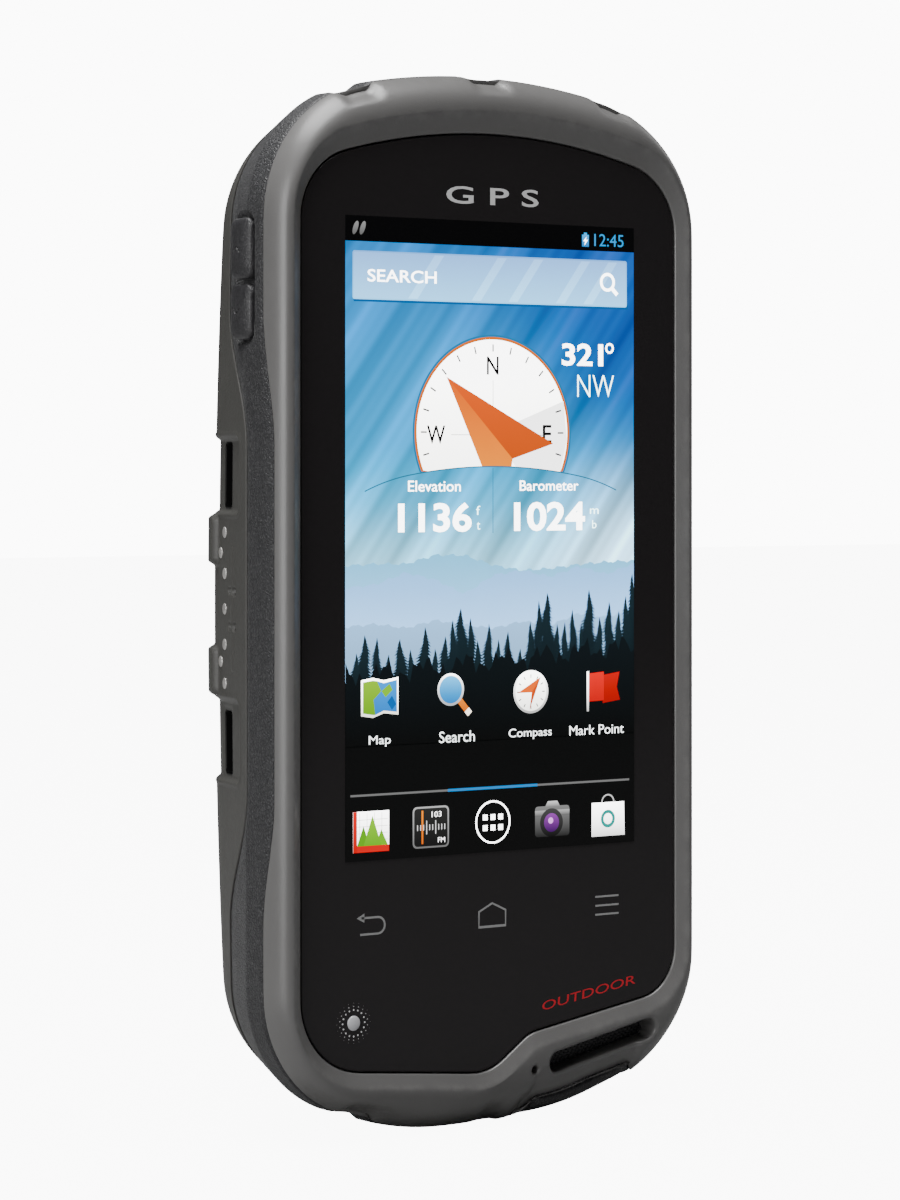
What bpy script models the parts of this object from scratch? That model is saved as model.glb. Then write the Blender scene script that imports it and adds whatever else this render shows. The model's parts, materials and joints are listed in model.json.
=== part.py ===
"""Handheld GPS unit: front bezel, grip band and rear housing around a display, circuit board and battery.

All sizes below are in millimetres; MM turns them into Blender's metres.
X runs across the unit, +Y points out of its back, +Z points to its top. The origin is the box's centre.
"""

import math

import bmesh
import bpy
from mathutils import Matrix, Vector

MM = 0.001

# Overall size
HALF_WIDTH = 37.2
HALF_HEIGHT = 75.05
FRONT_Y = -18.1
BACK_Y = 18.1
GAP = 0.3

# Outlines seen from the front, clockwise from the top left: corner x, z and its rounding radius
BODY_CORNERS = (
    (-HALF_WIDTH, 69.7, 20.0),
    (0.0, 77.22, 108.7),
    (HALF_WIDTH, 69.7, 20.0),
    (HALF_WIDTH, -67.26, 19.0),
    (13.55, -HALF_HEIGHT, 47.0),
    (-13.55, -HALF_HEIGHT, 47.0),
    (-HALF_WIDTH, -67.26, 19.0),
)
GLASS_HALF_WIDTH = 32.8
GLASS_CORNERS = (
    (-GLASS_HALF_WIDTH, 61.05, 10.0),
    (0.0, 69.5, 96.6),
    (GLASS_HALF_WIDTH, 61.05, 10.0),
    (GLASS_HALF_WIDTH, -57.85, 7.0),
    (6.2, -62.25, 6.0),
    (-1.0, -67.35, 8.0),
    (-GLASS_HALF_WIDTH, -64.25, 10.5),
)
CORNER_STEPS = (6, 10, 6, 6, 5, 5, 6)
# Where a long side has points, as shares of its straight run from the top down
SIDE_STOPS = (0.05, 0.09, 0.13, 0.17, 0.21, 0.25, 0.29, 0.5, 0.72, 0.76, 0.8, 0.84, 0.88, 0.92, 0.96)
RIGHT_RUN, LEFT_RUN = 2, 6

# Depths of the layers, front to back
GLASS_FRONT_Y = -16.9
GLASS_BACK_Y = -16.1
LIP_EDGE_Y = -17.0
LEDGE_Y = -15.2
TONGUE_Y = -13.4
FLANK_END_Y = -12.5
TAPER_START_Y = -9.5
TAPER_END_Y = 2.4
TAPER_SLOPE = 0.25
EDGE_RADIUS = 13.0
RECESS_Y = 8.4
BOARD_Y = -9.6
BOARD_THICK = 1.2

# Parting lines: depth in the middle of the sides and how far they swing back at the ends
BAND_FRONT_MID_Y, BAND_FRONT_SWING = -15.8, 2.2
BAND_REAR_MID_Y, BAND_REAR_SWING = -9.5, 7.7
SWING_TOP = (22.0, 41.0)
SWING_BOTTOM = (27.0, 45.0)
BACK_BOW = 0.2
BACK_BOW_LENGTH = 62.0

BAND_INSET = 3.0
LIP_THICK = 1.1
TONGUE_INSET = 1.4
HOUSING_INSET = (3.3, 5.3)
WALL = 2.2

# Keys on the sides: centre depth, centre height, length, width
KEY_PROUD = 0.7
VOLUME_UP = (-8.2, 49.4, 8.6, 5.6)
VOLUME_DOWN = (-8.2, 40.6, 7.8, 5.6)
VOLUME_PAIR = (-8.2, 45.2, 17.0, 5.6)
POWER = (-8.2, 51.0, 8.6, 5.6)

# Port covers on the right side: lowest z, highest z, front y, rear y
USB_COVER = (-57.0, -41.4, -11.6, -4.8)
AUDIO_COVER = (38.2, 44.8, -9.5, -3.1)
COVER_THICK = 1.5

# Docking face on the left side
DOCK_ANGLE = math.atan(TAPER_SLOPE)
DOCK_SLOTS = ((14.0, 22.3), (-23.5, -15.0))
DOCK_SLOT_Y = (-1.15, 2.05)
DOCK_RECESSES = ((12.7, 23.8), (-24.1, -13.8))
DOCK_RIBS = ((5.2, 12.2), (-13.3, -6.4))
CONTACT_NEAR, CONTACT_FAR = -0.15, 1.6
CONTACTS = (
    (9.8, CONTACT_NEAR),
    (6.9, CONTACT_FAR),
    (4.0, CONTACT_NEAR),
    (-1.0, CONTACT_NEAR),
    (-6.0, CONTACT_NEAR),
    (-8.5, CONTACT_FAR),
    (-11.5, CONTACT_NEAR),
)
CONTACT_RADIUS = 0.8

# Speaker slot, microphone hole and light sensor lens in the front
SPEAKER_CENTRE, SPEAKER_LENGTH, SPEAKER_HEIGHT, SPEAKER_TILT = (19.2, -65.2), 19.9, 3.3, 11.6
MIC_CENTRE, MIC_RADIUS = (6.7, -67.6), 0.65
SENSOR_CENTRE, SENSOR_RADIUS = (-24.3, -58.3), 1.05

# Display
SCREEN_HALF_WIDTH, SCREEN_TOP, SCREEN_BOTTOM = 25.4, 53.85, -36.05

# Back: battery door, bay, latch and camera
DOOR_HALF_WIDTH, DOOR_TOP, DOOR_BOTTOM, DOOR_CORNER = 23.5, 29.0, -59.0, 9.0
DOOR_WALL = 1.8
BATTERY = (20.3, 14.9, -35.5, 1.2, 15.4)
LATCH_Z = -47.0
LATCH_RECESS_RADIUS, LATCH_RECESS_Y = 8.6, 15.1
RING_Y = 16.4
CAMERA_Z, CAMERA_BOSS_Y = 50.0, 11.6
FLASH_X = 10.5
SCREWS = ((-19.0, 34.5), (19.0, 34.5), (-18.5, -43.5), (18.5, -43.5))
SCREW_SEATS = (11.6, 9.1)

MATERIALS = {
    "bezel_plastic": ((0.105, 0.103, 0.102), 0.42, 0.0),
    "grip_rubber": ((0.022, 0.022, 0.024), 0.7, 0.0),
    "housing_plastic": ((0.058, 0.058, 0.055), 0.5, 0.0),
    "black_plastic": ((0.02, 0.02, 0.02), 0.5, 0.0),
    "glass_black": ((0.017, 0.014, 0.014), 0.1, 0.0),
    "screen": ((0.08, 0.3, 0.6), 0.3, 0.0),
    "seal_rubber": ((0.05, 0.05, 0.055), 0.8, 0.0),
    "board_green": ((0.02, 0.12, 0.05), 0.5, 0.0),
    "steel": ((0.5, 0.5, 0.5), 0.35, 1.0),
    "contact_metal": ((0.55, 0.55, 0.53), 0.3, 1.0),
    "gold": ((0.8, 0.6, 0.25), 0.3, 1.0),
    "ceramic": ((0.55, 0.5, 0.42), 0.6, 0.0),
    "lens": ((0.03, 0.03, 0.05), 0.05, 0.0),
    "clear": ((0.8, 0.8, 0.78), 0.1, 0.0),
    "battery_wrap": ((0.03, 0.03, 0.035), 0.4, 0.0),
}


def material(name):
    """The named material, made the first time it is asked for."""
    if name in bpy.data.materials:
        return bpy.data.materials[name]
    made = bpy.data.materials.new(name)
    made.use_nodes = True
    colour, roughness, metallic = MATERIALS[name]
    shader = made.node_tree.nodes["Principled BSDF"]
    shader.inputs["Base Color"].default_value = (*colour, 1.0)
    shader.inputs["Roughness"].default_value = roughness
    shader.inputs["Metallic"].default_value = metallic
    return made


SIDE_RUNS = {RIGHT_RUN: SIDE_STOPS, LEFT_RUN: tuple(1 - stop for stop in reversed(SIDE_STOPS))}


def smoothstep(value):
    value = min(1.0, max(0.0, value))
    return value * value * (3 - 2 * value)


def swing(z):
    """0 along the middle of the sides, rising smoothly to 1 towards the top and the bottom."""
    low, high = SWING_TOP if z > 0 else SWING_BOTTOM
    return smoothstep((abs(z) - low) / (high - low))


def band_front(z):
    return BAND_FRONT_MID_Y + BAND_FRONT_SWING * swing(z)


def band_rear(z):
    return BAND_REAR_MID_Y + BAND_REAR_SWING * swing(z)


def rounded_outline(corners, corner_steps=CORNER_STEPS, runs=None):
    """Points and outward normals along a polygon whose corners are rounded by arcs, clockwise.

    Each arc has a fixed number of steps and each straight run fixed stops, so such outlines
    match point by point.
    """
    count = len(corners)
    arcs = []
    for i, (x, z, radius) in enumerate(corners):
        here = Vector((x, z))
        before = (Vector(corners[i - 1][:2]) - here).normalized()
        after = (Vector(corners[(i + 1) % count][:2]) - here).normalized()
        half_angle = before.angle(after) / 2
        middle = (before + after).normalized()
        centre = here + middle * radius / math.sin(half_angle)
        start = here + before * radius / math.tan(half_angle) - centre
        turn = math.pi - 2 * half_angle
        if before.x * after.y - before.y * after.x < 0:
            turn = -turn
        arcs.append((centre, start, -turn, 1.0 if turn > 0 else -1.0))
    outline = []
    for i, (centre, start, turn, outward) in enumerate(arcs):
        for step in range(corner_steps[i] + 1):
            arm = Matrix.Rotation(turn * step / corner_steps[i], 2) @ start
            outline.append((centre + arm, arm.normalized() * outward))
        next_centre, next_start = arcs[(i + 1) % count][:2]
        here, there = outline[-1][0], next_centre + next_start
        for share in (SIDE_RUNS if runs is None else runs).get(i, ()):
            outline.append((here.lerp(there, share), outline[-1][1]))
    return outline


BODY = rounded_outline(BODY_CORNERS)
GLASS = rounded_outline(GLASS_CORNERS)


def offset(outline, distance):
    """The outline's points moved outwards by a distance, or inwards where it is negative."""
    return [point + normal * distance for point, normal in outline]


def lip_width(normal):
    """The front lip is 1.7 wide at the sides, wider at the top and a little wider at the bottom."""
    return 1.7 + 1.3 * max(0.0, normal.y) ** 2 + 0.3 * max(0.0, -normal.y) ** 2


CREST = [point + normal * (GAP + lip_width(normal)) for point, normal in GLASS]


def flank_ring(depth):
    """The outer surface at a depth between the crest and the widest outline; depth is a function of z."""
    ring = []
    for crest, (body, _) in zip(CREST, BODY):
        y = depth(body.y)
        share = (FLANK_END_Y - min(y, FLANK_END_Y)) / (FLANK_END_Y - FRONT_Y)
        point = crest.lerp(body, math.sqrt(max(0.0, 1 - share * share)))
        ring.append((point.x, y, point.y))
    return ring


def ring_at(points, depth):
    """A ring of 3D points from outline points, at one depth or at a function of z."""
    return [(p.x, depth(p.y) if callable(depth) else depth, p.y) for p in points]


def taper(y):
    """Inset of the outer surface behind the widest outline: a straight taper, then the rear edge's arc."""
    if y <= TAPER_START_Y:
        return 0.0
    if y <= TAPER_END_Y:
        return TAPER_SLOPE * (y - TAPER_START_Y)
    start = DOCK_ANGLE
    sine = min(1.0, math.sin(start) + (y - TAPER_END_Y) / EDGE_RADIUS)
    straight = TAPER_SLOPE * (TAPER_END_Y - TAPER_START_Y)
    return straight + EDGE_RADIUS * (math.cos(start) - math.sqrt(1 - sine * sine))


EDGE_END_Y = TAPER_END_Y + EDGE_RADIUS * (1 - math.sin(DOCK_ANGLE))


def bowed(y, z):
    """The back is bowed lengthwise: depths behind the taper's start shrink towards the ends."""
    if y <= TAPER_START_Y:
        return y
    return TAPER_START_Y + (y - TAPER_START_Y) * (1 - BACK_BOW * (z / BACK_BOW_LENGTH) ** 2)


def unbowed(y, z):
    if y <= TAPER_START_Y:
        return y
    return TAPER_START_Y + (y - TAPER_START_Y) / (1 - BACK_BOW * (z / BACK_BOW_LENGTH) ** 2)


def back_ring(y, extra_inset=0.0, extra_depth=0.0):
    """A ring of the rear housing's outer surface, or of its inner surface where extra is given."""
    ring = []
    for point, normal in BODY:
        inner = point - normal * (taper(y) + extra_inset)
        ring.append((inner.x, bowed(y, point.y) - extra_depth, inner.y))
    return ring


def new_object(name, mesh_data, material_name, origin=(0, 0, 0)):
    """An object from a bmesh in millimetres, with its origin at a point in millimetres."""
    bmesh.ops.translate(mesh_data, verts=mesh_data.verts, vec=-Vector(origin))
    bmesh.ops.scale(mesh_data, verts=mesh_data.verts, vec=(MM, MM, MM))
    bmesh.ops.recalc_face_normals(mesh_data, faces=mesh_data.faces)
    if mesh_data.calc_volume(signed=True) < 0:
        bmesh.ops.reverse_faces(mesh_data, faces=mesh_data.faces)
    mesh = bpy.data.meshes.new(name)
    mesh_data.to_mesh(mesh)
    mesh_data.free()
    made = bpy.data.objects.new(name, mesh)
    made.location = Vector(origin) * MM
    bpy.context.scene.collection.objects.link(made)
    if material_name:
        mesh.materials.append(material(material_name))
    return made


def add_rings(mesh_data, rings, closed=False, cap_ends=False):
    """Joins rings of equal length with quads; closed joins the last to the first."""
    rows = [[mesh_data.verts.new(point) for point in ring] for ring in rings]
    pairs = list(zip(rows, rows[1:]))
    if closed:
        pairs.append((rows[-1], rows[0]))
    for first, second in pairs:
        for i in range(len(first)):
            j = (i + 1) % len(first)
            mesh_data.faces.new((first[i], first[j], second[j], second[i]))
    if cap_ends:
        mesh_data.faces.new(rows[0])
        mesh_data.faces.new(reversed(rows[-1]))
    return rows


def cap_across(mesh_data, row):
    """Closes a left-right symmetric ring with strips that run straight across it."""
    top = CORNER_STEPS[0] + 1 + CORNER_STEPS[1] // 2
    count = len(row)
    pairs = [(row[(top + k) % count], row[(top - k) % count]) for k in range(1, (count + 1) // 2)]
    mesh_data.faces.new((row[top], pairs[0][0], pairs[0][1]))
    for (a, b), (c, d) in zip(pairs, pairs[1:]):
        mesh_data.faces.new((a, c, d, b))
    if count % 2 == 0:
        mesh_data.faces.new((pairs[-1][0], row[(top + count // 2) % count], pairs[-1][1]))


def loop_solid(name, rings, material_name, origin=(0, 0, 0)):
    """A solid ring whose cross-section is the closed polygon that the rings trace."""
    mesh_data = bmesh.new()
    add_rings(mesh_data, rings, closed=True)
    return new_object(name, mesh_data, material_name, origin)


def stack_solid(name, rings, material_name, origin=(0, 0, 0)):
    """A solid from a stack of rings with flat ends."""
    mesh_data = bmesh.new()
    add_rings(mesh_data, rings, cap_ends=True)
    return new_object(name, mesh_data, material_name, origin)


def box(name, low, high, material_name, bevel=0.0, origin=(0, 0, 0)):
    mesh_data = bmesh.new()
    bmesh.ops.create_cube(mesh_data, size=1.0)
    size = [b - a for a, b in zip(low, high)]
    centre = [(a + b) / 2 for a, b in zip(low, high)]
    bmesh.ops.scale(mesh_data, verts=mesh_data.verts, vec=size)
    bmesh.ops.translate(mesh_data, verts=mesh_data.verts, vec=centre)
    if bevel:
        bmesh.ops.bevel(mesh_data, geom=mesh_data.edges, offset=bevel, segments=1, affect="EDGES")
    return new_object(name, mesh_data, material_name, origin)


def turned(name, profile, centre, axis, material_name, steps=20, origin=(0, 0, 0)):
    """A solid turned about an axis letter through centre; profile holds (distance along the axis, radius)."""
    rings = []
    for along, radius in profile:
        ring = []
        for step in range(steps):
            angle = 2 * math.pi * step / steps
            across = (radius * math.cos(angle), radius * math.sin(angle))
            local = {"X": (along, *across), "Y": (across[0], along, across[1]), "Z": (*across, along)}[axis]
            ring.append(Vector(local) + Vector(centre))
        rings.append(ring)
    return stack_solid(name, rings, material_name, origin)


def prism(name, outline_xz, low_y, high_y, material_name, origin=(0, 0, 0)):
    """An outline in X and Z pushed through from one depth to another."""
    rings = [[(x, y, z) for x, z in outline_xz] for y in (low_y, high_y)]
    return stack_solid(name, rings, material_name, origin)


def rounded_box_outline(half_width, low_z, high_z, radius, steps=4, centre_x=0.0):
    """Points of a rectangle with round corners, anticlockwise."""
    points = []
    corners = ((1, high_z, 0), (-1, high_z, 90), (-1, low_z, 180), (1, low_z, 270))
    for side, z, start in corners:
        centre = (centre_x + side * (half_width - radius), z - math.copysign(radius, 180 - start - 1))
        for step in range(steps + 1):
            angle = math.radians(start + 90 * step / steps)
            points.append((centre[0] + radius * math.cos(angle), centre[1] + radius * math.sin(angle)))
    return points


def tilt(shape, angle, about):
    """Turns an object's mesh about a vertical line through a point, in millimetres."""
    pivot = Matrix.Translation(Vector(about) * MM)
    shape.data.transform(pivot @ Matrix.Rotation(angle, 4, "Z") @ pivot.inverted())
    return shape


def boolean(target, tool, operation="DIFFERENCE"):
    """Cuts or joins with a helper object, which isn't part of the model itself."""
    tool.hide_render = True
    tool.display_type = "WIRE"
    step = target.modifiers.new(tool.name, "BOOLEAN")
    step.operation = operation
    step.solver = "EXACT"
    step.object = tool


def side_x(side, y):
    """X of the widest side's surface at a depth, on the left (-1) or on the right (1)."""
    return side * (HALF_WIDTH - taper(y))


# Front: bezel, glass and display


def make_bezel():
    pocket = offset(GLASS, GAP)
    inner = offset(GLASS, -1.2)
    share_of_flank = (0.93, 0.75, 0.5)
    rings = [ring_at(pocket, LEDGE_Y), ring_at(pocket, LIP_EDGE_Y), ring_at(CREST, FRONT_Y)]
    for share in share_of_flank:
        rings.append(flank_ring(lambda z, s=share: band_front(z) + (FRONT_Y - band_front(z)) * s))
    edge = flank_ring(band_front)
    rings.append(edge)
    tongue = [p - n * TONGUE_INSET for p, n in BODY]
    edge_inset = ring_at(tongue, band_front)
    rings += [edge_inset, ring_at(tongue, TONGUE_Y), ring_at(inner, TONGUE_Y), ring_at(inner, LEDGE_Y)]
    bezel = loop_solid("front_bezel", rings, "bezel_plastic")
    slot = rounded_box_outline(SPEAKER_LENGTH / 2, -SPEAKER_HEIGHT / 2, SPEAKER_HEIGHT / 2, 1.6)
    angle = math.radians(SPEAKER_TILT)
    turned_slot = [
        (
            SPEAKER_CENTRE[0] + x * math.cos(angle) - z * math.sin(angle),
            SPEAKER_CENTRE[1] + x * math.sin(angle) + z * math.cos(angle),
        )
        for x, z in slot
    ]
    boolean(bezel, prism("cut_speaker_slot", turned_slot, -20, -12, None))
    mic_profile = ((-20, MIC_RADIUS), (-12, MIC_RADIUS))
    mic = turned("cut_mic_hole", mic_profile, (MIC_CENTRE[0], 0, MIC_CENTRE[1]), "Y", None, 12)
    boolean(bezel, mic)
    return bezel


def make_glass():
    rings = [
        ring_at(offset(GLASS, 0), GLASS_BACK_Y),
        ring_at(offset(GLASS, 0), GLASS_FRONT_Y + 0.15),
        ring_at(offset(GLASS, -0.15), GLASS_FRONT_Y),
    ]
    glass = stack_solid("cover_glass", rings, "glass_black")
    hole = SENSOR_RADIUS + GAP
    centre = (SENSOR_CENTRE[0], 0, SENSOR_CENTRE[1])
    boolean(glass, turned("cut_sensor_hole", ((-18, hole), (-15, hole)), centre, "Y", None, 14))
    section = ((-0.1, -15.8), (-1.1, -15.8), (-1.1, -15.5), (-0.1, -15.5))
    adhesive = [ring_at(offset(GLASS, distance), y) for distance, y in section]
    loop_solid("glass_adhesive", adhesive, "seal_rubber")


def make_display():
    low, high = SCREEN_BOTTOM - 5.5, SCREEN_TOP + 2.5
    box("display_module", (-28, -15.8, low), (28, -13.2, high), "screen", 0.2)
    frame = rounded_box_outline(29.5, -58.0, 60.0, 3.0)
    prism("display_frame", frame, -12.9, -12.1, "steel")
    box("display_ribbon", (-9, -11.8, -57.0), (9, -11.5, -26.0), "gold")


# Middle: grip band and seal


def make_band():
    def front(z):
        return band_front(z) + GAP

    def middle(z):
        return (front(z) + FLANK_END_Y) / 2

    body = [p for p, _ in BODY]
    rear = []
    rear_inner = []
    for point, normal in BODY:
        y = band_rear(point.y)
        outer = point - normal * taper(unbowed(y, point.y))
        rear.append((outer.x, y, outer.y))
        inner = point - normal * BAND_INSET
        rear_inner.append((inner.x, y, inner.y))
    wall = offset(BODY, -BAND_INSET)
    lip = offset(BODY, -LIP_THICK)
    rings = [
        flank_ring(front),
        flank_ring(middle),
        ring_at(body, FLANK_END_Y),
        ring_at(body, lambda z: min(TAPER_START_Y, band_rear(z) - 0.4)),
        rear,
        rear_inner,
        ring_at(wall, TONGUE_Y + GAP),
        ring_at(lip, TONGUE_Y + GAP),
        ring_at(lip, lambda z: min(front(z), TONGUE_Y + 0.1)),
    ]
    band = loop_solid("grip_band", rings, "grip_rubber")
    for label, side, key in (("volume", -1, VOLUME_PAIR), ("power", 1, POWER)):
        boolean(band, key_window("cut_band_" + label, side, key, GAP))
    for label, cover in (("usb", USB_COVER), ("audio", AUDIO_COVER)):
        boolean(band, cover_window("cut_band_" + label, cover, GAP, 32.0))
    return band


def key_window(name, side, key, margin, inner_x=30.0):
    """A helper that opens a wall for a side key, with a margin round it."""
    y, z, length, width = key
    half = (length / 2 + margin, width / 2 + margin)
    xs = sorted((side * inner_x, side * 45.0))
    return box(name, (xs[0], y - half[1], z - half[0]), (xs[1], y + half[1], z + half[0]), None, 0.0)


def cover_window(name, cover, margin, inner_x):
    low_z, high_z, front, rear = cover
    low = (inner_x, front - margin, low_z - margin)
    return box(name, low, (45.0, rear + margin, high_z + margin), None)


def make_seal():
    seal_rings = [
        ring_at(offset(BODY, -inset), y)
        for inset, y in ((3.6, -13.1), (5.0, -13.1), (5.0, -12.7), (3.6, -12.7))
    ]
    loop_solid("case_seal", seal_rings, "seal_rubber")


# Back: housing


def make_housing():
    mesh_data = bmesh.new()
    outer_start = []
    for point, normal in BODY:
        y = band_rear(point.y) + GAP
        edge = point - normal * taper(unbowed(y, point.y))
        outer_start.append((edge.x, y, edge.y))
    step_inner, tongue_inner = HOUSING_INSET
    tongue_front = -12.4
    shoulder = []
    for point, normal in BODY:
        inner = point - normal * step_inner
        shoulder.append((inner.x, band_rear(point.y) + GAP, inner.y))
    depths = (TAPER_END_Y, 6.0, 8.8, 10.8, EDGE_END_Y)
    outer = [back_ring(y) for y in depths]
    rings = [
        ring_at(offset(BODY, -tongue_inner), tongue_front),
        ring_at(offset(BODY, -step_inner), tongue_front),
        shoulder,
        outer_start,
        *outer,
    ]
    rows = add_rings(mesh_data, rings)
    cap_across(mesh_data, rows[-1])
    inner = [
        ring_at(offset(BODY, -tongue_inner), -4.0),
        back_ring(TAPER_END_Y, WALL, 1.0),
        back_ring(7.5, WALL, 2.0),
        back_ring(EDGE_END_Y, 1.0, WALL),
    ]
    inner_rows = add_rings(mesh_data, inner)
    for i in range(len(BODY)):
        j = (i + 1) % len(BODY)
        mesh_data.faces.new((rows[0][i], rows[0][j], inner_rows[0][j], inner_rows[0][i]))
    cap_across(mesh_data, inner_rows[-1])
    housing = new_object("rear_housing", mesh_data, "housing_plastic")

    floor = rounded_box_outline(DOOR_HALF_WIDTH + 2.0, DOOR_BOTTOM - 2.0, DOOR_TOP + 2.0, DOOR_CORNER + 2.0)
    boolean(housing, prism("join_recess_floor", floor, RECESS_Y - WALL, 9.2, None), "UNION")
    boolean(housing, box("join_bay", (-24.2, -0.9, -40.3), (24.2, 9.5, 17.3), None), "UNION")
    boss = rounded_box_outline(12.75, CAMERA_Z - 8.5, CAMERA_Z + 8.5, 8.4, 5, 4.25)
    boolean(housing, prism("join_camera_boss", boss, 6.0, CAMERA_BOSS_Y, None), "UNION")
    latch = turned("join_latch_pocket", ((2.5, 6.6), (9.5, 6.6)), (0, 0, LATCH_Z), "Y", None, 16)
    boolean(housing, latch, "UNION")
    for index, (x, z) in enumerate(SCREWS):
        top = 7.6 if z < 0 else 10.6
        post = turned(f"join_screw_post_{index}", ((-6.5, 2.4), (top, 2.4)), (x, 0, z), "Y", None, 10)
        boolean(housing, post, "UNION")
    for index, (low, high) in enumerate(DOCK_RIBS):
        boolean(housing, side_wrap(f"join_dock_rib_{index}", low, high, (2.6, 9.5), -1.2, 0.9), "UNION")

    recess = rounded_box_outline(DOOR_HALF_WIDTH + GAP, DOOR_BOTTOM - GAP, DOOR_TOP + GAP, DOOR_CORNER)
    boolean(housing, prism("cut_door_recess", recess, RECESS_Y, 25, None))
    half_width, top, bottom, front, _ = BATTERY
    low, high = (-half_width - 0.4, front - GAP, bottom - 2.0), (half_width + 0.4, 25, top + 1.0)
    boolean(housing, box("cut_bay", low, high, None))
    boolean(housing, box("cut_card_window", (-8.5, -3.0, -8.5), (8.5, 2.0, 16.4), None))
    boolean(housing, turned("cut_latch_pocket", ((4.2, 5.2), (25, 5.2)), (0, 0, LATCH_Z), "Y", None, 16))
    boolean(housing, turned("cut_camera_hole", ((2, 5.0), (25, 5.0)), (0, 0, CAMERA_Z), "Y", None, 20))
    boolean(housing, turned("cut_flash_hole", ((2, 2.9), (25, 2.9)), (FLASH_X, 0, CAMERA_Z), "Y", None, 16))
    for index, (x, z) in enumerate(SCREWS):
        seat = SCREW_SEATS[z < 0]
        profile = ((-8, 0.9), (seat - 2.0, 0.9), (seat - 1.99, 1.9), (25, 1.9))
        boolean(housing, turned(f"cut_screw_{index}", profile, (x, 0, z), "Y", None, 12))
    for label, side, key in (("volume", -1, VOLUME_PAIR), ("power", 1, POWER)):
        boolean(housing, key_window("cut_housing_" + label, side, key, 1.1, 25.0))
    for label, cover in (("usb", USB_COVER), ("audio", AUDIO_COVER)):
        boolean(housing, cover_window("cut_housing_" + label, cover, 0.4, 25.0))
    for index, (low, high) in enumerate(DOCK_RECESSES):
        boolean(housing, side_wrap(f"cut_dock_recess_{index}", low, high, (-6.6, 9.2), -0.7, 5.0))
    for index, (low, high) in enumerate(DOCK_SLOTS):
        front, rear = DOCK_SLOT_Y
        boolean(housing, dock_block(f"cut_dock_slot_{index}", (-2.7, front, low), (6.0, rear, high)))
    for index, (z, y) in enumerate(CONTACTS):
        boolean(housing, dock_pin(f"cut_contact_{index}", z, y, -6.0, 3.0, CONTACT_RADIUS + GAP))
    return housing


def dock_point(y):
    """The point of the left side's tapered face at a depth."""
    return Vector((side_x(-1, y), y, 0))


def dock_block(name, low, high):
    """A block on the left face: its first size runs out of the face, its second backwards along it."""
    pivot = dock_point(0.0)
    block = box(name, (pivot.x - high[0], low[1], low[2]), (pivot.x - low[0], high[1], high[2]), None)
    return tilt(block, -DOCK_ANGLE, pivot)


def side_wrap(name, low_z, high_z, depths, inner, outer, steps=6):
    """A block that follows the left side's curve between two depths, from an inner to an outer offset."""
    start, end = depths
    places = [start + (end - start) * i / steps for i in range(steps + 1)]
    surface = [Vector((side_x(-1, y), y)) for y in places]
    section = []
    for distance, points in ((outer, surface), (inner, surface[::-1])):
        for i, point in enumerate(points):
            along = points[min(i + 1, steps)] - points[max(i - 1, 0)]
            outward = Vector((-abs(along.y), abs(along.x))).normalized()
            section.append(point + outward * distance)
    return stack_solid(name, [[(p.x, p.y, z) for p in section] for z in (low_z, high_z)], None)


def dock_pin(name, z, y, start, end, radius, material_name=None, steps=10):
    """A round pin square to the left face; start and end are distances out of the face."""
    pivot = dock_point(0.0)
    centre = (pivot.x, y / math.cos(DOCK_ANGLE), z)
    pin = turned(name, ((-end, radius), (-start, radius)), centre, "X", material_name, steps)
    return tilt(pin, -DOCK_ANGLE, pivot)


def make_dock():
    for index, (z, y) in enumerate(CONTACTS, start=1):
        dock_pin(f"dock_contact_{index}", z, y, -3.9, -0.1, CONTACT_RADIUS, "contact_metal")
    pivot = dock_point(0.0)
    low, high = (pivot.x + 4.3, -3.6, -13.4), (pivot.x + 5.9, 2.6, 12.0)
    carrier = box("dock_carrier", low, high, "black_plastic", 0.2)
    tilt(carrier, -DOCK_ANGLE, pivot)


def make_screws():
    for index, (x, z) in enumerate(SCREWS, start=1):
        seat = SCREW_SEATS[z < 0]
        head = seat - 1.7
        profile = ((-6.0, 0.6), (head, 0.6), (head + 0.01, 1.6), (head + 1.2, 1.6))
        turned(f"case_screw_{index}", profile, (x, 0, z), "Y", "steel", 10)


# Battery door, latch and battery


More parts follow.
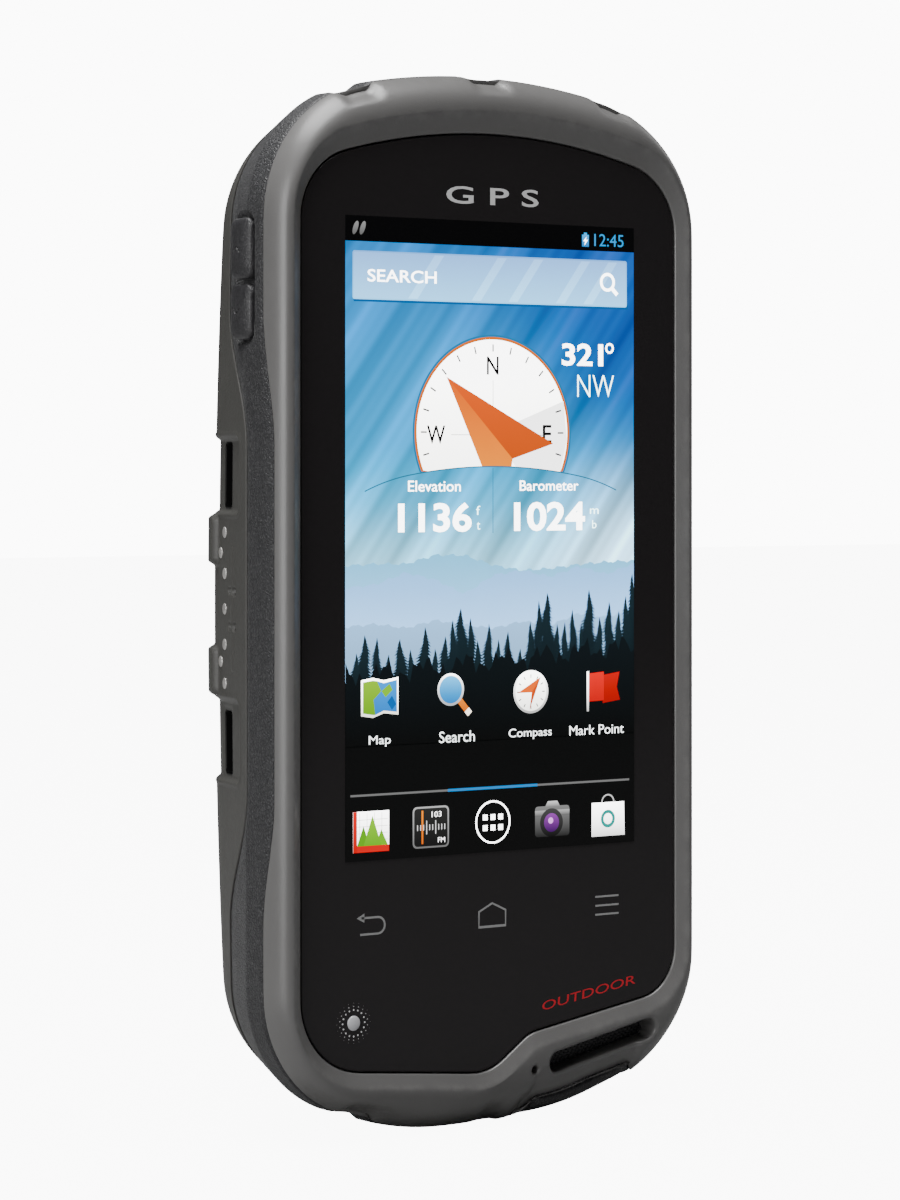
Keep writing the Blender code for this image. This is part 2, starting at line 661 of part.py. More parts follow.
def make_door():
    rings = []
    profile = ((0.0, RECESS_Y + GAP), (0.0, 14.0), (0.7, 16.2), (2.4, 17.6), (5.0, BACK_Y))
    for inset, y in profile:
        corner = DOOR_CORNER - inset
        outline = rounded_box_outline(DOOR_HALF_WIDTH - inset, DOOR_BOTTOM + inset, DOOR_TOP - inset, corner)
        rings.append([(x, y, z) for x, z in outline])
    door = stack_solid("battery_door", rings, "housing_plastic")
    hollow_profile = ((0.0, RECESS_Y - 2), (0.0, 14.0), (1.2, 16.3))
    hollow = []
    for inset, y in hollow_profile:
        half = DOOR_HALF_WIDTH - DOOR_WALL - inset
        low, high = DOOR_BOTTOM + DOOR_WALL + inset, DOOR_TOP - DOOR_WALL - inset
        corner = DOOR_CORNER - DOOR_WALL - inset
        hollow.append([(x, y, z) for x, z in rounded_box_outline(half, low, high, corner)])
    boolean(door, stack_solid("cut_door_hollow", hollow, None))
    boss = ((9.0, 7.0), (LATCH_RECESS_Y - 0.2, LATCH_RECESS_RADIUS + 1.4), (16.8, LATCH_RECESS_RADIUS + 1.4))
    boolean(door, turned("join_latch_boss", boss, (0, 0, LATCH_Z), "Y", None, 28), "UNION")
    recess = ((LATCH_RECESS_Y, LATCH_RECESS_RADIUS), (25, LATCH_RECESS_RADIUS))
    boolean(door, turned("cut_latch_recess", recess, (0, 0, LATCH_Z), "Y", None, 28))
    boolean(door, turned("cut_latch_bore", ((5, 2.4), (20, 2.4)), (0, 0, LATCH_Z), "Y", None, 16))
    seal_rings = []
    for inset, y in ((2.0, 8.8), (2.7, 8.8), (2.7, 9.6), (2.0, 9.6)):
        corner = DOOR_CORNER - inset
        outline = rounded_box_outline(DOOR_HALF_WIDTH - inset, DOOR_BOTTOM + inset, DOOR_TOP - inset, corner)
        seal_rings.append([(x, y, z) for x, z in outline])
    loop_solid("door_seal", seal_rings, "seal_rubber")


def make_latch():
    axis_point = (0, RING_Y, LATCH_Z)
    stud = turned(
        "latch_stud",
        ((5.6, 2.0), (LATCH_RECESS_Y + 0.2, 2.0), (LATCH_RECESS_Y + 0.21, 3.4), (17.6, 3.4), (17.9, 3.0)),
        (0, 0, LATCH_Z),
        "Y",
        "steel",
        16,
        (0, 0, LATCH_Z),
    )
    lug = box("join_latch_lug", (-4.6, 4.6, LATCH_Z - 1.3), (4.6, 5.9, LATCH_Z + 1.3), None)
    boolean(stud, lug, "UNION")
    boolean(stud, box("cut_ring_groove", (-6, RING_Y - 1.05, LATCH_Z - 1.1), (6, 20, LATCH_Z + 1.1), None))
    half, drop, thick = 5.4, 7.3, 0.75
    corners = ((-half, 0.0, 1.3), (half, 0.0, 1.3), (half, -drop, 4.9), (-half, -drop, 4.9))
    path = rounded_outline(corners, (2, 2, 6, 6), {0: (0.3, 0.7)})
    rings = []
    for step in range(8):
        angle = 2 * math.pi * step / 8
        across, y = thick * math.cos(angle), RING_Y + thick * math.sin(angle)
        rings.append([(p.x + n.x * across, y, LATCH_Z + p.y + n.y * across) for p, n in path])
    loop_solid("latch_ring", rings, "steel", axis_point)


def make_battery():
    half_width, top, bottom, front, rear = BATTERY
    cell = (rear - front) / 2
    outline = []
    for side in (1, 0, -1):
        centre = side * (half_width - cell)
        outline.append((centre, cell))
    mesh_data = bmesh.new()
    profile = []
    steps = 6
    for sign, order in ((1, (1, 0, -1)), (-1, (-1, 0, 1))):
        for place in order:
            centre_x = place * (half_width - cell)
            start = 90 - 90 * sign
            spread = {1: (0, 120), 0: (60, 120), -1: (60, 180)}[place * sign]
            for step in range(steps + 1):
                angle = math.radians(start + spread[0] + (spread[1] - spread[0]) * step / steps)
                profile.append((centre_x + cell * math.cos(angle), cell * math.sin(angle)))
    centre_y = (front + rear) / 2
    rings = [[(x, centre_y + y, z) for x, y in profile] for z in (bottom, top)]
    add_rings(mesh_data, rings, cap_ends=True)
    bmesh.ops.remove_doubles(mesh_data, verts=mesh_data.verts, dist=0.05)
    new_object("battery_pack", mesh_data, "battery_wrap")
    for index, x in enumerate((-14.0, 14.0), start=1):
        profile = ((3.0, -1.7), (12.5, -1.7), (10.5, -0.4), (8.0, -1.2), (3.0, -1.4))
        leaf = [(x - 2.5, y, bottom + rise) for y, rise in profile]
        other = [(px + 5.0, py, pz) for px, py, pz in leaf]
        stack_solid(f"battery_contact_{index}", [leaf, other], "contact_metal")


# Board and what sits on it


def make_board():
    back = BOARD_Y + BOARD_THICK
    board = prism("main_board", rounded_box_outline(28.5, -58.0, 58.0, 2.5), BOARD_Y, back, "board_green")
    for index, (x, z) in enumerate(SCREWS):
        boolean(board, turned(f"cut_board_{index}", ((-11, 3.0), (-7, 3.0)), (x, 0, z), "Y", None, 10))
    box("processor_shield", (-19, -11.4, -20), (9, BOARD_Y - GAP, 10), "steel", 0.3)
    box("radio_shield", (-10, -11.4, 16), (16, BOARD_Y - GAP, 40), "steel", 0.3)
    box("gps_antenna", (-11, back + GAP, 35), (11, -4.1, 57), "ceramic", 0.4)
    box("card_socket", (-7.5, -4.0, -8.0), (7.5, -1.4, 11.6), "steel", 0.2)
    box("memory_card", (-5.5, -1.1, -2.0), (5.5, -0.3, 11.4), "black_plastic", 0.15)
    for name, low, high in (("usb_socket", -56.2, -48.8), ("hdmi_socket", -48.2, -42.2)):
        socket = box(name, (25.5, back + GAP, low), (34.0, -5.2, high), "steel", 0.3)
        hollow = ((28.5, back + GAP + 0.5, low + 0.5), (36.0, -5.7, high - 0.5))
        boolean(socket, box(f"cut_{name}", *hollow, None))
    socket_bore = ((21.0, 1.8), (40.0, 1.8))
    jack = box("audio_jack", (21.5, back + GAP, 38.8), (34.2, -3.4, 44.2), "black_plastic", 0.3)
    boolean(jack, turned("cut_jack_bore", ((23.0, 1.8), socket_bore[1]), (0, -5.7, 41.5), "X", None, 14))
    motor = ((-5.0, 0.2), (-4.99, 3.0), (4.99, 3.0), (5.0, 0.2))
    turned("vibration_motor", motor, (-14.0, -4.5, -53.0), "Z", "steel", 14)


def make_sounders():
    x, z = SPEAKER_CENTRE
    angle = math.radians(SPEAKER_TILT)
    half_length, half_height = SPEAKER_LENGTH / 2 - 0.3, SPEAKER_HEIGHT / 2 - 0.3
    mesh_outline = rounded_box_outline(half_length, -half_height, half_height, 1.2)
    turned_outline = [
        (x + px * math.cos(angle) - pz * math.sin(angle), z + px * math.sin(angle) + pz * math.cos(angle))
        for px, pz in mesh_outline
    ]
    prism("speaker_mesh", turned_outline, -14.4, -14.0, "black_plastic")
    box("speaker", (10.0, -12.9, -65.4), (24.0, -10.2, -58.4), "black_plastic", 0.4)
    box("microphone", (5.0, -12.9, -69.0), (8.4, -11.6, -65.8), "steel", 0.2)


def make_light_sensor():
    centre = (SENSOR_CENTRE[0], 0, SENSOR_CENTRE[1])
    dome = ((-16.2, SENSOR_RADIUS), (-16.9, SENSOR_RADIUS), (-17.15, 0.8), (-17.25, 0.3))
    turned("sensor_lens", tuple(reversed(dome)), centre, "Y", "clear", 14)
    x, z = SENSOR_CENTRE
    box("light_sensor", (x - 1.6, -14.9, z - 1.6), (x + 1.6, -13.6, z + 1.6), "black_plastic", 0.2)


# Camera


def make_camera():
    centre = (0, 0, CAMERA_Z)
    barrel = ((-1.0, 4.4), (5.5, 4.4), (5.51, 3.4), (9.2, 3.4), (9.21, 2.6), (9.8, 2.4))
    turned("camera_module", barrel, centre, "Y", "black_plastic", 18)
    turned("camera_window", ((10.2, 4.4), (11.0, 4.4)), centre, "Y", "lens", 24)
    flash = ((8.4, 2.5), (11.4, 2.5), (11.7, 2.0))
    turned("flash_lens", flash, (FLASH_X, 0, CAMERA_Z), "Y", "clear", 16)
    steps = 28
    rings = []
    front = CAMERA_BOSS_Y + GAP
    for radius, y in ((5.4, front), (7.6, front), (7.2, 12.9), (5.8, 13.0), (5.0, 12.3)):
        ring = []
        for step in range(steps):
            angle = 2 * math.pi * step / steps
            ring.append((radius * math.cos(angle), y, CAMERA_Z + radius * math.sin(angle)))
        rings.append(ring)
    loop_solid("camera_trim", rings, "black_plastic")


# Keys, switches and port covers


def make_key(name, side, key, material_name="grip_rubber"):
    """A key that slides through the band's wall, with a flange behind it."""
    y, z, length, width = key
    outside = HALF_WIDTH + KEY_PROUD
    rings = []
    flange = 0.7
    shapes = (
        (33.0, flange, 0.0),
        (33.8, flange, 0.0),
        (33.81, 0.0, 0.0),
        (outside - 0.5, 0.0, 0.0),
        (outside, -0.5, -0.5),
    )
    for x, grow_y, grow_z in shapes:
        outline = rounded_box_outline(width / 2 + grow_y, -length / 2 - grow_z, length / 2 + grow_z, 1.6, 3)
        rings.append([(side * x, y + py, z + pz) for py, pz in outline])
    return stack_solid(name, rings, material_name, (side * outside, y, z))


def make_switch(name, side, key):
    y, z = key[0], key[1]
    xs = sorted((side * 28.8, side * 32.3))
    box(name, (xs[0], y - 1.6, z - 2.2), (xs[1], y + 1.6, z + 2.2), "steel", 0.3)


def make_cover(name, cover):
    """A rubber flap set flush in the band, hinged along its lower end."""
    low_z, high_z, front, rear = cover
    outside = HALF_WIDTH + 0.3
    inside = outside - COVER_THICK
    shapes = ((inside, 0.0), (outside - 0.4, 0.0), (outside, -0.4))
    centre_y, centre_z = (front + rear) / 2, (low_z + high_z) / 2
    rings = []
    for x, grow in shapes:
        half_z = (high_z - low_z) / 2 + grow
        outline = rounded_box_outline((rear - front) / 2 + grow, -half_z, half_z, 1.5 + grow, 3)
        rings.append([(x, centre_y + py, centre_z + pz) for py, pz in outline])
    stack_solid(name, rings, "grip_rubber", (outside, centre_y, low_z))


def make_controls():
    make_key("volume_up_key", -1, VOLUME_UP)
    make_key("volume_down_key", -1, VOLUME_DOWN)
    make_key("power_key", 1, POWER)
    make_switch("volume_up_switch", -1, VOLUME_UP)
    make_switch("volume_down_switch", -1, VOLUME_DOWN)
    make_switch("power_switch", 1, POWER)
    make_cover("usb_cover", USB_COVER)
    make_cover("audio_cover", AUDIO_COVER)


def main():
    for existing in list(bpy.data.objects):
        bpy.data.objects.remove(existing)
    make_bezel()
    make_glass()
    make_display()
    make_band()
    make_seal()
    make_housing()
    make_dock()
    make_screws()
    make_door()
    make_latch()
    make_battery()
    make_board()
    make_sounders()
    make_light_sensor()
    make_camera()
    make_controls()


main()
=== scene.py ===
import json
import math

import bpy
import numpy as np
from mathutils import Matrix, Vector
from mathutils.geometry import tessellate_polygon

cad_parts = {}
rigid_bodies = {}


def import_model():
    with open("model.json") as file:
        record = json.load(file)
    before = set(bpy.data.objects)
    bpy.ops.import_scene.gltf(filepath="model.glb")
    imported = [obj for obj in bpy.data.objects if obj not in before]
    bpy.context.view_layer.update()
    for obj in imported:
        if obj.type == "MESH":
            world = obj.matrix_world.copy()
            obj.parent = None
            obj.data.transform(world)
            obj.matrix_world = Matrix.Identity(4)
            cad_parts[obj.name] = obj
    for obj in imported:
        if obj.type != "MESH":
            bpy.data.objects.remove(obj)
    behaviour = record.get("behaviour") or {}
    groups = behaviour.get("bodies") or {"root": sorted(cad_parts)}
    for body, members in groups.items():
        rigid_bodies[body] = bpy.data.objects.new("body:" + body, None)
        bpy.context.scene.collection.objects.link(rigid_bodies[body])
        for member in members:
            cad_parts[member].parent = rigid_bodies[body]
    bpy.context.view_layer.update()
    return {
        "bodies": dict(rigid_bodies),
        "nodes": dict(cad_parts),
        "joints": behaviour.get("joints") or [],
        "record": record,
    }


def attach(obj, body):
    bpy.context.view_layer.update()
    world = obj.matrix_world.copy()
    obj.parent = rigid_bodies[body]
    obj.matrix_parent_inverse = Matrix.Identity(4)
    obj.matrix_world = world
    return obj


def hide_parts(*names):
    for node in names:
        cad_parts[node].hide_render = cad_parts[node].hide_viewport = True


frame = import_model()
mm = 0.001
print("frame loaded:", len(frame["nodes"]), "nodes")

# Sizes of the case in millimetres, in the frame's own axes: x across, y backwards, z up
case = {
    "halfWidth": 37.2,
    "crestY": -18.1,
    "lipEdgeY": -17.05,
    "flankEndY": -12.5,
    "taperStartY": -9.5,
    "taperEndY": 2.4,
    "taperSlope": 0.25,
    "edgeRadius": 13.0,
    "bow": 0.2,
    "bowLength": 62.0,
    "seam": 0.16,
}
# Outline corners seen from the front, clockwise from the top left: x, z, rounding radius
bodyCorners = [
    (-37.2, 69.7, 20.0), (0.0, 77.22, 105.5), (37.2, 69.7, 20.0), (37.2, -67.26, 19.0),
    (13.55, -75.05, 47.0), (-13.55, -75.05, 47.0), (-37.2, -67.26, 19.0),
]
glassCorners = [
    (-32.8, 61.05, 10.0), (0.0, 69.5, 96.6), (32.8, 61.05, 10.0), (32.8, -57.85, 7.0),
    (6.2, -62.25, 6.0), (-1.0, -67.35, 8.0), (-32.8, -64.25, 10.5),
]


# Shapes: outlines, rings and grids


def roundedOutline(corners, arcSteps=120, runSteps=220):
    # Each corner becomes an arc of its radius, tangent to the sides, with the same number of points on
    # every arc and every side, so that two outlines with as many corners match point by point
    corner = np.array(corners, float)
    at, radius = corner[:, :2], corner[:, 2:]
    before = np.roll(at, 1, 0) - at
    after = np.roll(at, -1, 0) - at
    before /= np.linalg.norm(before, axis=1, keepdims=True)
    after /= np.linalg.norm(after, axis=1, keepdims=True)
    half = np.arccos(np.clip((before * after).sum(1, keepdims=True), -1, 1)) / 2
    middle = before + after
    middle /= np.linalg.norm(middle, axis=1, keepdims=True)
    centre = at + middle * radius / np.sin(half)
    start = at + before * radius / np.tan(half)
    end = at + after * radius / np.tan(half)
    share = np.linspace(0, 1, arcSteps)[None, :, None]
    angle = math.pi - 2 * half
    fromCentre, toCentre = start - centre, end - centre
    arcs = (
        fromCentre[:, None] * np.sin((1 - share) * angle[:, None])
        + toCentre[:, None] * np.sin(share * angle[:, None])
    ) / np.sin(angle[:, None]) + centre[:, None]
    share = np.linspace(0, 1, runSteps + 2)[None, 1:-1, None]
    runs = end[:, None] * (1 - share) + np.roll(start, -1, 0)[:, None] * share
    return np.concatenate([arcs, runs], axis=1).reshape(-1, 2)


def bell(reach):
    # Weights of a bell curve that add up to one, and how many neighbours it takes in on each side
    half = int(reach * 3)
    weights = np.exp(-0.5 * (np.arange(-half, half + 1) / reach) ** 2)
    return weights / weights.sum(), half


def smoothClosed(values, reach):
    # Averages a closed run of points with its neighbours under a bell curve of the given reach, in points
    weights, half = bell(reach)
    padded = np.concatenate([values[-half:], values, values[:half]])
    return np.stack([np.convolve(padded[:, i], weights, "valid") for i in range(values.shape[1])], 1)


def outwardNormals(points):
    # Unit normals of a closed clockwise outline
    along = np.roll(points, -1, 0) - np.roll(points, 1, 0)
    normal = np.stack([-along[:, 1], along[:, 0]], 1)
    return normal / np.linalg.norm(normal, axis=1, keepdims=True)


def smoothStep(low, high, value):
    share = np.clip((value - low) / (high - low), 0, 1)
    return share * share * (3 - 2 * share)


def makeOutlines():
    # The body's and the glass's outlines as matching dense runs of points, with softened corner joints
    body = roundedOutline(bodyCorners)
    glass = roundedOutline(glassCorners)
    return smoothClosed(body, 6), smoothClosed(glass, 5)


denseBody, denseGlass = makeOutlines()


def stations(spacing):
    # Column places round the outline: spacing(x, z) gives the wanted distance between columns in millimetres
    step = np.linalg.norm(np.roll(denseBody, -1, 0) - denseBody, axis=1)
    count = step / spacing(denseBody[:, 0], denseBody[:, 1])
    total = np.concatenate([[0], np.cumsum(count)])
    columns = int(round(total[-1]))
    return np.interp(np.arange(columns) * total[-1] / columns, total, np.arange(len(total)))


def sampleAt(dense, places):
    # Reads a closed dense outline, and its outward normals, at fractional places
    closed = np.concatenate([dense, dense[:1]])
    normals = outwardNormals(dense)
    normals = np.concatenate([normals, normals[:1]])
    index = np.arange(len(closed))
    point = np.stack([np.interp(places, index, closed[:, i]) for i in range(2)], 1)
    normal = np.stack([np.interp(places, index, normals[:, i]) for i in range(2)], 1)
    return point, normal / np.linalg.norm(normal, axis=1, keepdims=True)


def ring(points, depth):
    # A ring of 3D points from outline points and a depth, which may differ from point to point
    return np.stack([points[:, 0], np.broadcast_to(depth, len(points)), points[:, 1]], 1)


def fillRows(rings, counts, soften=0.0):
    # Rows between control rings: straight from ring to ring, then averaged along the rows to round the edges
    rows = []
    for i, count in enumerate(counts):
        share = np.arange(count)[:, None, None] / count
        rows.append(rings[i] * (1 - share) + rings[i + 1] * share)
    rows.append(rings[-1][None])
    grid = np.concatenate(rows)
    if soften:
        weights, half = bell(soften)
        padded = np.concatenate([np.repeat(grid[:1], half, 0), grid, np.repeat(grid[-1:], half, 0)])
        grid = sum(w * padded[i:i + len(grid)] for i, w in enumerate(weights))
    return grid


def gridNormals(grid):
    # Cross product of the steps along the rows and along the columns
    across = np.roll(grid, -1, 1) - np.roll(grid, 1, 1)
    normal = np.cross(across, np.gradient(grid, axis=0))
    return normal / np.maximum(np.linalg.norm(normal, axis=2, keepdims=True), 1e-12)


def meshFromGrid(name, grid, closedRows=False, caps=(), attributes=None):
    # Joins the grid's points with four-sided faces; a cap closes its first (0) or last (-1) row with a fan
    rows, columns = grid.shape[:2]
    index = np.arange(rows * columns).reshape(rows, columns)
    down = np.roll(index, -1, 0) if closedRows else index[1:]
    up = index if closedRows else index[:-1]
    quads = np.stack([up, np.roll(up, -1, 1), np.roll(down, -1, 1), down], 2).reshape(-1, 4)
    points = grid.reshape(-1, 3)
    triangles = []
    for cap in caps:
        hub = len(points)
        row = index[cap]
        points = np.concatenate([points, grid[cap].mean(0)[None]])
        fan = np.stack([row, np.roll(row, -1), np.full(columns, hub)], 1)
        triangles.append(fan[:, ::-1] if cap == 0 else fan)
    triangles = np.concatenate(triangles) if triangles else np.zeros((0, 3), int)
    return meshFromFaces(name, points, quads, triangles, attributes)


def meshFromFaces(name, points, quads, triangles=None, attributes=None, smooth=True):
    # Puts points in millimetres and faces into a new mesh object at the origin, turned to face outwards
    triangles = np.zeros((0, 3), int) if triangles is None else triangles
    fans = np.concatenate([triangles, quads[:, [0, 1, 2]], quads[:, [0, 2, 3]]])
    a, b, c = (points[fans[:, i]] for i in range(3))
    if (a * np.cross(b, c)).sum() < 0:
        triangles, quads = triangles[:, ::-1], quads[:, ::-1]
    mesh = bpy.data.meshes.new(name)
    mesh.vertices.add(len(points))
    mesh.vertices.foreach_set("co", (points * mm).astype(np.float32).ravel())
    sizes = np.concatenate([np.full(len(quads), 4), np.full(len(triangles), 3)])
    mesh.loops.add(int(sizes.sum()))
    mesh.loops.foreach_set("vertex_index", np.concatenate([quads.ravel(), triangles.ravel()]).astype(np.int32))
    mesh.polygons.add(len(sizes))
    starts = np.concatenate([[0], np.cumsum(sizes)[:-1]]).astype(np.int32)
    mesh.polygons.foreach_set("loop_start", starts)
    mesh.update(calc_edges=True)
    for key, values in (attributes or {}).items():
        layer = mesh.attributes.new(key, "FLOAT", "POINT")
        full = np.zeros(len(points), np.float32)
        full[:values.size] = values.ravel()
        layer.data.foreach_set("value", full)
    mesh.validate()
    mesh.shade_smooth() if smooth else mesh.shade_flat()
    piece = bpy.data.objects.new(name, mesh)
    bpy.context.scene.collection.objects.link(piece)
    return piece


# Fields that shape the case


def swing(z):
    # 0 along the middle of the sides, 1 towards the top and the bottom
    low, high = np.where(z > 0, 22.0, 27.0), np.where(z > 0, 41.0, 45.0)
    share = np.clip((np.abs(z) - low) / (high - low), 0, 1)
    return share * share * (3 - 2 * share)


def bandFront(x, z):
    # Depth of the seam between bezel and band; the band reaches forward under the right of the bottom edge
    toe = smoothStep(4.5, 8.5, x) * smoothStep(27.5, 24.0, x) * smoothStep(-55, -62, z)
    return -15.8 + 2.2 * swing(z) - 2.5 * toe


def bandRear(z):
    return -9.5 + 7.7 * swing(z)


def taperInset(y):
    # Inset of the outer surface: a straight taper from the band backwards, then the rear edge's arc
    start = math.atan(case["taperSlope"])
    straight = case["taperSlope"] * np.clip(y - case["taperStartY"], 0, case["taperEndY"] - case["taperStartY"])
    sine = np.clip(math.sin(start) + np.maximum(y - case["taperEndY"], 0) / case["edgeRadius"], 0, 1)
    return straight + case["edgeRadius"] * (math.cos(start) - np.sqrt(1 - sine * sine))


def bowShare(z):
    return 1 - case["bow"] * (z / case["bowLength"]) ** 2


def bowed(y, z):
    # The back is bowed lengthwise: depth behind the taper's start shrinks with the square of the height
    return np.where(y > case["taperStartY"], case["taperStartY"] + (y - case["taperStartY"]) * bowShare(z), y)


def unbowed(y, z):
    return np.where(y > case["taperStartY"], case["taperStartY"] + (y - case["taperStartY"]) / bowShare(z), y)


edgeEndY = case["taperEndY"] + case["edgeRadius"] * (1 - math.sin(math.atan(case["taperSlope"])))


def scoops(x, z):
    # Shallow troughs between the raised pads on the top and bottom edges: flat floors with soft ramps
    depth = np.zeros_like(x)
    for centre, half, deep, end in (
        (-22.3, 2.4, 0.85, 1), (0.0, 2.5, 0.8, 1), (22.4, 2.4, 0.8, 1),
        (-22.0, 2.2, 0.75, -1), (0.4, 1.6, 0.4, -1), (15.5, 10.5, 0.55, -1),
    ):
        near = smoothStep(half + 1.1, half - 0.7, np.abs(x - centre))
        depth += deep * near * smoothStep(45, 58, z * end)
    return depth


def roundedBoxSdf(u, v, halfU, halfV, radius):
    # Signed distance to a rectangle with round corners, negative inside
    du, dv = np.abs(u) - (halfU - radius), np.abs(v) - (halfV - radius)
    outside = np.hypot(np.maximum(du, 0), np.maximum(dv, 0))
    return outside + np.minimum(np.maximum(du, dv), 0) - radius


def caseColumns(spacing):
    # The outline's columns: body and glass outline points, normals, and the bezel's crest
    places = stations(spacing)
    body, bodyNormal = sampleAt(denseBody, places)
    glass, glassNormal = sampleAt(denseGlass, places)
    up = np.maximum(glassNormal[:, 1:], 0) ** 2
    down = np.maximum(-glassNormal[:, 1:], 0) ** 2
    crest = glass + glassNormal * (0.3 + 1.7 + 1.3 * up + 0.3 * down)
    return {"body": body, "bodyNormal": bodyNormal, "glass": glass, "glassNormal": glassNormal, "crest": crest}


def flankRing(columns, y):
    # The outer surface between the crest and the widest outline: a quarter ellipse in section
    share = (case["flankEndY"] - np.minimum(y, case["flankEndY"])) / (case["flankEndY"] - case["crestY"])
    out = np.sqrt(np.clip(1 - share * share, 0, 1))[:, None]
    return ring(columns["crest"] * (1 - out) + columns["body"] * out, y)


def flankRows(columns, fromY, toY, count):
    # Rings down the flank, evenly spaced by angle round the ellipse
    depth = case["flankEndY"] - case["crestY"]
    start = np.arccos(np.clip((case["flankEndY"] - fromY) / depth, -1, 1))
    end = np.arccos(np.clip((case["flankEndY"] - toY) / depth, -1, 1))
    turns = [start * (1 - s) + end * s for s in np.linspace(0, 1, count)]
    return [flankRing(columns, case["flankEndY"] - depth * np.cos(turn)) for turn in turns]


def outwardField(columns, shape):
    # The outline's outward normal at every point of a grid
    normal = columns["bodyNormal"]
    return np.broadcast_to(np.stack([normal[:, 0], np.zeros(len(normal)), normal[:, 1]], 1), shape)


def insetRing(columns, inset, y):
    return ring(columns["body"] - columns["bodyNormal"] * np.reshape(inset, (-1, 1)), y)


def stack(parts):
    return np.concatenate([np.array(part).reshape(-1, *np.shape(part)[-2:]) for part in parts])


# Bezel

bezel = {
    "slotCentre": (19.2, -65.2),
    "slotLength": 19.9,
    "slotHeight": 3.2,
    "slotTilt": math.radians(11.6),
    "slotFloorY": -13.75,
    "micCentre": (6.7, -67.6),
    "micRadius": 0.62,
}


def slotSdf(x, z):
    u, v = x - bezel["slotCentre"][0], z - bezel["slotCentre"][1]
    turn = bezel["slotTilt"]
    along, across = u * math.cos(turn) + v * math.sin(turn), v * math.cos(turn) - u * math.sin(turn)
    half = bezel["slotHeight"] / 2
    return roundedBoxSdf(along, across, bezel["slotLength"] / 2, half, half)


def bezelSpacing(x, z):
    # Fine columns where the speaker slot and the microphone hole are
    fine = smoothStep(3.5, 5.5, x) * smoothStep(33, 31, x) * (z < -50)
    return 0.72 - 0.5 * fine


def makeBezel():
    columns = caseColumns(bezelSpacing)
    body = columns["body"]
    seamY = bandFront(body[:, 0], body[:, 1])
    glassSide = columns["glass"] + columns["glassNormal"] * 0.22
    lip = fillRows(
        [ring(glassSide, -15.6), ring(glassSide, case["lipEdgeY"] + 0.12),
         ring(columns["glass"] + columns["glassNormal"] * 0.34, case["lipEdgeY"]),
         ring(columns["crest"] - columns["glassNormal"] * 0.25, case["crestY"] + 0.12)],
        [5, 2, 12],
    )
    flank = flankRows(columns, np.full(len(body), case["crestY"]), seamY - case["seam"] / 2, 64)
    turnIn = [insetRing(columns, 0.25, seamY - 0.02), insetRing(columns, 0.9, seamY), insetRing(columns, 1.6, seamY)]
    edge = flank[-1]
    turnIn[0][:, [0, 2]] = edge[:, [0, 2]] - columns["bodyNormal"] * 0.22
    turnIn[1][:, [0, 2]] = edge[:, [0, 2]] - columns["bodyNormal"] * 0.8
    grid = stack([lip, flank, turnIn])
    front = len(grid)
    # Average along the rows to round the crest and the seam's edge
    soft = fillRows(list(grid), [1] * (front - 1), soften=1.1)
    soft[0] = grid[0]
    grid = soft
    normal = gridNormals(grid)
    x, z = grid[..., 0], grid[..., 2]
    flankShare = np.clip((np.arange(front) - len(lip)) / (len(flank) - 1), 0, 1)[:, None]
    grid -= normal * (scoops(x, z) * smoothStep(0.3, 0.72, flankShare))[..., None]
    slot = -slotSdf(x, z)
    onFront = (flankShare > 0) & (flankShare < 0.9)
    grid[..., 1] += np.where(onFront, 0.32 * smoothStep(-0.5, 0.1, slot), 0)
    floor = np.maximum(bezel["slotFloorY"] - grid[..., 1], 0)
    grid[..., 1] += np.where(onFront, floor * smoothStep(0.0, 0.42, slot), 0)
    mic = bezel["micRadius"] - np.hypot(x - bezel["micCentre"][0], z - bezel["micCentre"][1])
    grid[..., 1] += np.where(onFront, 0.16 * smoothStep(-0.3, 0.0, mic) + 2.2 * smoothStep(0.0, 0.3, mic), 0)
    back = [insetRing(columns, 1.6, -13.45), ring(columns["glass"] - columns["glassNormal"] * 1.2, -13.45),
            ring(columns["glass"] - columns["glassNormal"] * 1.2, -15.3)]
    grid = stack([grid, back])
    worn = np.zeros(grid.shape[:2])
    crestRow = len(lip)
    worn[:front] = np.exp(-((np.arange(front) - crestRow) / 4.0) ** 2)[:, None]
    piece = meshFromGrid("bezel_shell", grid, closedRows=True, attributes={"worn": worn})
    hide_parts("front_bezel")
    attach(piece, "case")
    return piece


# Grip band

band = {
    "innerInset": 2.9,
    "keyPocket": {"side": -1, "y": -8.2, "z": 45.2, "halfY": 3.1, "halfZ": 8.95, "radius": 1.8, "deep": 1.2},
    "powerPocket": {"side": 1, "y": -8.2, "z": 51.0, "halfY": 3.1, "halfZ": 4.65, "radius": 1.8, "deep": 1.2},
    "usbPocket": {"side": 1, "y": -8.2, "z": -49.2, "halfY": 3.6, "halfZ": 8.05, "radius": 1.7, "deep": 3.15},
    "audioPocket": {"side": 1, "y": -6.3, "z": 41.5, "halfY": 3.4, "halfZ": 3.5, "radius": 1.7, "deep": 3.15},
}


def sink(grid, outward, pocket, wall=0.3):
    # Presses a pocket with round corners and steep walls into a side of the case
    sdf = roundedBoxSdf(grid[..., 1] - pocket["y"], grid[..., 2] - pocket["z"],
                        pocket["halfY"], pocket["halfZ"], pocket["radius"])
    onSide = grid[..., 0] * pocket["side"] > 25
    share = np.where(onSide, smoothStep(wall, -0.05, sdf), 0)
    return grid - outward * (share * pocket["deep"])[..., None]


def bandSpacing(x, z):
    fine = (np.abs(x) > 36.5) & (np.abs(np.abs(z) - 47) < 11.5)
    return np.where(fine, 0.3, 0.85)


